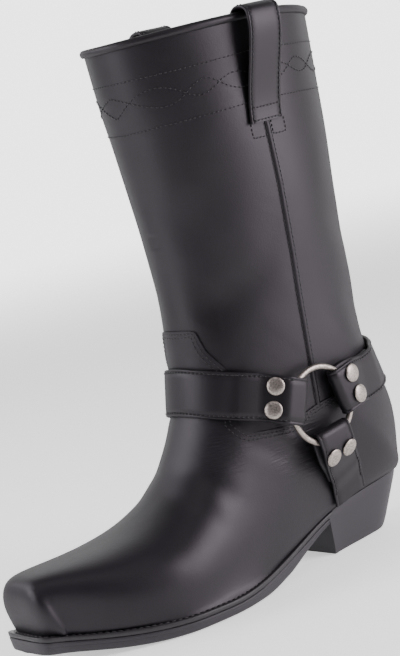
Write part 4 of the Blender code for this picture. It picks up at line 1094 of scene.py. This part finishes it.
# Domed rivet heads with a rolled edge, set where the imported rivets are
def makeStuds():
    # shares of the head's radius and height
    profile = [
        (0.0, 1.0), (0.18, 0.995), (0.36, 0.96), (0.55, 0.89), (0.72, 0.77),
        (0.85, 0.60), (0.94, 0.44), (0.99, 0.27), (1.0, 0.12), (0.97, 0.0),
    ]
    for name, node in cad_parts.items():
        if not name.startswith("stud_"):
            continue
        co = np.array([node.matrix_world @ v.co for v in node.data.vertices])
        centre = co.mean(0)
        axis = np.linalg.svd(co - centre)[2][2]
        if np.dot(axis, centre - np.array([0.0, boot["axisY"], centre[2]])) < 0:
            axis = -axis
        heights = (co - centre) @ axis
        ring = co[heights < heights.min() + 0.0001]
        base = ring.mean(0)
        radius = float(np.linalg.norm(ring - base, axis=1).max())
        tall = float(heights.max() - heights.min())
        first = np.cross(axis, [0.0, 0.0, 1.0])
        first /= np.linalg.norm(first)
        second = np.cross(axis, first)
        verts = []
        around = circle(32)
        for share, height in profile:
            for c, s in around:
                verts.append(base + (first * c + second * s) * share * radius + axis * height * tall)
        faces = netFaces(len(profile), len(around), closed=True, ends=(len(profile) - 1,))
        finishPiece(name.replace("stud", "rivet"), verts, faces, "silver", [name], sharp=60)


rings = makeHarness(skin)
makeRings(rings)
makeStuds()
print("harness ready")


# Pull loops and collar
loops = {
    "foot": 0.2965,
    "tall": 0.0745,
    "lowY": -0.0335,
    "lean": 0.0090,
    "wide": 0.027,
    "thick": 0.0022,
    "underRim": 0.004,
    "sewn": (1, 60),
    "barRows": (6, 1),
    "barIn": 0.0022,
    "route": [
        (0.020, 0.000), (0.020, 0.130), (0.045, 0.300), (0.100, 0.520), (0.150, 0.740), (0.155, 0.880),
        (0.120, 0.970), (0.030, 1.000), (-0.050, 0.980), (-0.105, 0.890), (-0.112, 0.740), (-0.085, 0.590),
        (-0.060, 0.450), (-0.058, 0.300),
    ],
}


def makePullLoops(skin):
    route = np.array(loops["route"])
    shares = np.linspace(0, 1, len(route))
    fine = np.linspace(0, 1, 79)
    offs, ups = (smoothCurve(shares, route[:, k], fine) * loops["tall"] for k in (0, 1))
    for side, label in sides:
        out = np.array([side, 0.0, 0.0])
        centres = []
        for off, up in zip(offs, ups):
            z = loops["foot"] + up
            level = min(z, rimHeight - loops["underRim"])
            shaft = side * skin.beside(side, loops["lowY"], level)[0] - boot["overlayRise"]
            centres.append((side * (shaft + off), loops["lowY"] + loops["lean"] * up / loops["tall"], z))
        across = [(0.0, 1.0, 0.0)] * len(centres)
        name = "pullLoop" + label.title()
        node = "pull_loop_" + label
        strapPiece(name, centres, across, (0, out), loops["wide"], loops["thick"], node, loops["sewn"])
        # the bar of stitches that holds the loop's foot
        stitches = Stitching()
        for row in loops["barRows"]:
            middle = np.array(centres[row]) + out * (loops["thick"] / 2 - 0.0001)
            reachY = np.linspace(-1, 1, 9) * (loops["wide"] / 2 - loops["barIn"])
            line = [middle + np.array([0, y, 0]) for y in reachY]
            stitches.along(line, [out] * len(line), "bar")
        stitches.finish("loopBar" + label.title())


collar = {
    # the roll outside, then what is turned in: off the leather's face, above the rim
    "roll": [
        (0.0003, -0.0034), (0.0011, -0.0034), (0.0017, -0.0029), (0.0022, -0.0020),
        (0.0024, -0.0010), (0.0021, 0.0002), (0.0013, 0.0012), (0.0, 0.0018),
    ],
    "turnedIn": [
        (-0.0004, 0.0011), (-0.0010, 0.0002), (-0.0012, -0.0014),
        (-0.0012, -0.0045), (-0.0003, -0.0045), (-0.0003, 0.0003),
    ],
}


# The rolled binding round the rim
def makeCollar():
    grid, weld = upperGrid(4, 48)
    normal = gridNormals(grid, weld)[-1, :-1]
    rim = grid[-1, :-1]
    rise = rim - grid[-3, :-1]
    rise /= rise[:, 2:]
    wall = boot["wall"]
    section = collar["roll"] + [(-wall / 2 - 0.0004, 0.0019)]
    section += [(off - wall, up) for off, up in collar["turnedIn"]] + [(0.0003, 0.0003)]
    verts = []
    for point, out, lean in zip(rim, normal, rise):
        for off, up in section:
            verts.append(point + out * off + lean * up)
    faces = netFaces(len(rim), len(section), closed=True, looped=True)
    finishPiece("collarBinding", verts, faces, "strap", ["collar_binding"], sharp=60)


makePullLoops(skin)
makeCollar()
print("loops and collar ready")


# Sole
sole = {
    "waistCurve": 0.0010,
    "weltThick": 0.0032,
    "weltReach": 0.012,
    "weltStitch": 0.0034,
    "weltRound": 0.0008,
    "weltEnd": 0.004,
    "groove": 0.00012,
    # down the sole's edge: share of its height, inset
    "edge": [
        (0.0, 0.0008), (0.06, 0.0003), (0.16, 0.0), (0.30, 0.0), (0.36, 0.0), (0.39, 0.00012),
        (0.42, 0.0), (0.48, 0.0), (0.62, 0.0), (0.80, 0.0), (0.93, 0.0003), (1.0, 0.0008),
    ],
}


def planLine(inset, end, count=80):
    stations = edgeStations(inset, end=end, count=count)
    lateral, medial = reach(stations, 0.0, inset)
    points = [(float(lateral[i]), float(stations[i])) for i in range(len(stations) - 1, -1, -1)]
    return points + [(float(medial[i]), float(stations[i])) for i in range(1, len(stations))]


# The strip round the forepart, its outer edge rounded, its stitches in a shallow groove
def makeWelt():
    end = heelBreast + sole["weltEnd"]
    outer = planLine(0.0, end)
    inner = planLine(sole["weltReach"], end)
    low, r = -sole["weltThick"], sole["weltRound"]
    section = [(r, low), (0.3 * r, low + 0.3 * r), (0.0, low + r), (0.0, -r), (0.3 * r, -0.3 * r)]
    section += [(r, 0.0), (0.0026, 0.0), (sole["weltStitch"], -0.0003), (0.0042, 0.0)]
    verts = []
    for a, b in zip(np.array(outer), np.array(inner)):
        run = (b - a) / max(np.linalg.norm(b - a), 1e-9)
        for (x, y), up in [(a + run * off, up) for off, up in section] + [(b, 0.0), (b, low)]:
            verts.append((x, y, float(soleTop(y)) + up))
    faces = netFaces(len(outer), len(section) + 2, closed=True, ends=(0, len(outer) - 1))
    finishPiece("weltStrip", verts, faces, "welt", ["welt"], sharp=55)
    line = planLine(sole["weltStitch"], end)
    path = [(x, y, float(soleTop(y)) - 0.0002) for x, y in line]
    stitches = Stitching()
    stitches.along(path, [(0, 0, 1)] * len(path), "welt")
    stitches.finish("weltStitching", "weltThread")


# One moulding: forepart with a fine line round its edge, breast, and slanted heel
def makeSole():
    straight = np.linspace(heelBreast, heelStart, 14)[1:]
    c = sole["waistCurve"]
    stations = []
    for inset in (0.0, c):
        front = edgeStations(inset, end=heelBreast, count=80)
        stations.append(np.concatenate([front, straight, edgeStations(inset, start=0.0, count=2)[2:]]))
    yTop, yLow = stations
    top, under = reach(yTop), reach(yLow, 0.0, c)
    breast = int(np.searchsorted(yTop, heelBreast))
    columns = []
    for i in range(len(yTop)):
        share = (yTop[i] - heelBreast) / (heelBack - heelBreast)
        middle = float(top[0][i] + top[1][i]) / 2
        draw = boot["heelSideTuck"] * min(1.0, 0.15 + 1.3 * share)
        wide = max(float(top[0][i] - top[1][i]), 1e-6)
        squeeze = max(0.0, 1 - 2 * draw / wide) if wide > 1e-5 else 0.0
        floorY = heelBreast + share * boot["heelLength"]
        centre = np.array([middle, min(yTop[i], 0.01), 0.0])
        for kind in ["fore"] * (i <= breast) + ["heel"] * (i >= breast):
            zTop = float(soleTop(yTop[i])) - (sole["weltThick"] + 0.0003 if kind == "fore" else 0.0)
            column = []
            for x0, x1 in ((top[0][i], under[0][i]), (top[1][i], under[1][i])):
                high = np.array([x0, yTop[i], zTop])
                low = np.array([middle + (x0 - middle) * squeeze, floorY, 0.0])
                if kind == "fore":
                    low = np.array([x1, yLow[i], float(soleUnder(yLow[i]))])
                side = []
                for d, inset in sole["edge"]:
                    point = high * (1 - d) + low * d
                    towards = centre - point
                    towards[2] = 0.0
                    towards /= max(np.linalg.norm(towards), 1e-6)
                    if kind == "heel" and inset == sole["groove"]:
                        inset = 0.0
                    side.append(point + towards * inset)
                column.append(side)
            columns.append(column[0] + column[1][::-1])
    verts = [point for column in columns for point in column]
    faces = netFaces(len(columns), len(columns[0]), closed=True, ends=(0,))
    finishPiece("soleAndHeel", verts, faces, "rubber", ["outsole"], sharp=45)


makeWelt()
makeSole()
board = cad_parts["insole"].data.materials
board.clear()
board.append(finishes["insole"])
print("sole ready")


# Stage, light and camera
studio = {
    "floor": 6.0,
    "glow": 0.75,
    # the room is darker where the camera stands; from, to, bright, dark
    "darkSide": (0.74, -0.66, 0.10),
    "world": (-0.93, -0.35, 3.2, 0.075),
    "aim": (0.0, -0.10, 0.15),
    # place, size, power, colour
    "boxes": [
        ((1.18, 0.76, 0.62), 1.0, 34.0, (1.0, 0.94, 1.0)),
        ((-0.50, -1.45, 0.66), 0.8, 13.0, (0.98, 0.95, 1.0)),
        ((-1.00, -1.05, 1.05), 0.9, 14.0, (0.97, 0.95, 1.0)),
        ((0.50, -0.50, 1.75), 1.2, 5.5, (1.0, 0.96, 1.0)),
    ],
}


def makeStage():
    half = studio["floor"] / 2
    mesh = bpy.data.meshes.new("studioFloor")
    corners = [(x * half, y * half, -0.0004) for x, y in ((-1, -1), (1, -1), (1, 1), (-1, 1))]
    mesh.from_pydata(corners, [], [[0, 1, 2, 3]])
    net = Net("pale studio floor")
    net.set(Emission_Color=(1, 1, 1, 1), Emission_Strength=studio["glow"])
    net.set(Base_Color=(0.90, 0.90, 0.90, 1), Roughness=0.9, Alpha=net.near((0, 0, 0), half))
    mesh.materials.append(net.owner)
    newObject("studioFloor", mesh)
    room = Net("white studio", world=True)
    ends = dict(zip(("From Min", "From Max", "To Min", "To Max"), studio["world"]))
    sockets = {0: room.places, 1: studio["darkSide"]}
    facing = room.add("ShaderNodeVectorMath", {"operation": "DOT_PRODUCT"}, sockets, "Value")
    smooth = {"interpolation_type": "SMOOTHSTEP"}
    level = room.add("ShaderNodeMapRange", smooth, {"Value": facing, **ends})
    room.set(Color=(1.0, 1.0, 1.0, 1), Strength=level)
    bpy.context.scene.world = room.owner
    for n, (at, across, power, colour) in enumerate(studio["boxes"]):
        light = bpy.data.lights.new("softbox%d" % (n + 1), "AREA")
        light.size = across
        light.energy = power
        light.color = colour
        lamp = newObject(light.name, light)
        lamp.location = at
        aim = Vector(studio["aim"]) - Vector(at)
        lamp.rotation_euler = aim.to_track_quat("-Z", "Y").to_euler()


view = {
    "azimuth": 54.185,
    "elevation": 7.833,
    "roll": 12.979,
    "distance": 1.2407,
    "focal": 1877.7,  # in pixels of a picture 400 wide
    "aim": (0.00394, -0.08412, 0.17277),
}


def makeCamera():
    azimuth, elevation, roll = (math.radians(view[k]) for k in ("azimuth", "elevation", "roll"))
    flat = math.cos(elevation)
    back = Vector((math.sin(azimuth) * flat, -math.cos(azimuth) * flat, math.sin(elevation)))
    level = Vector((math.cos(azimuth), math.sin(azimuth), 0.0))
    upright = back.cross(level)
    right = level * math.cos(roll) - upright * math.sin(roll)
    up = level * math.sin(roll) + upright * math.cos(roll)
    camera = bpy.data.cameras.new("photoCamera")
    camera.sensor_fit = "HORIZONTAL"
    camera.sensor_width = 36.0
    camera.lens = view["focal"] * camera.sensor_width / 400
    camera.clip_end = 50.0
    holder = newObject("photoCamera", camera)
    turn = Matrix((right, up, back)).transposed().to_4x4()
    holder.matrix_world = Matrix.Translation(Vector(view["aim"]) + back * view["distance"]) @ turn
    bpy.context.scene.camera = holder


makeStage()
makeCamera()
print("stage ready")
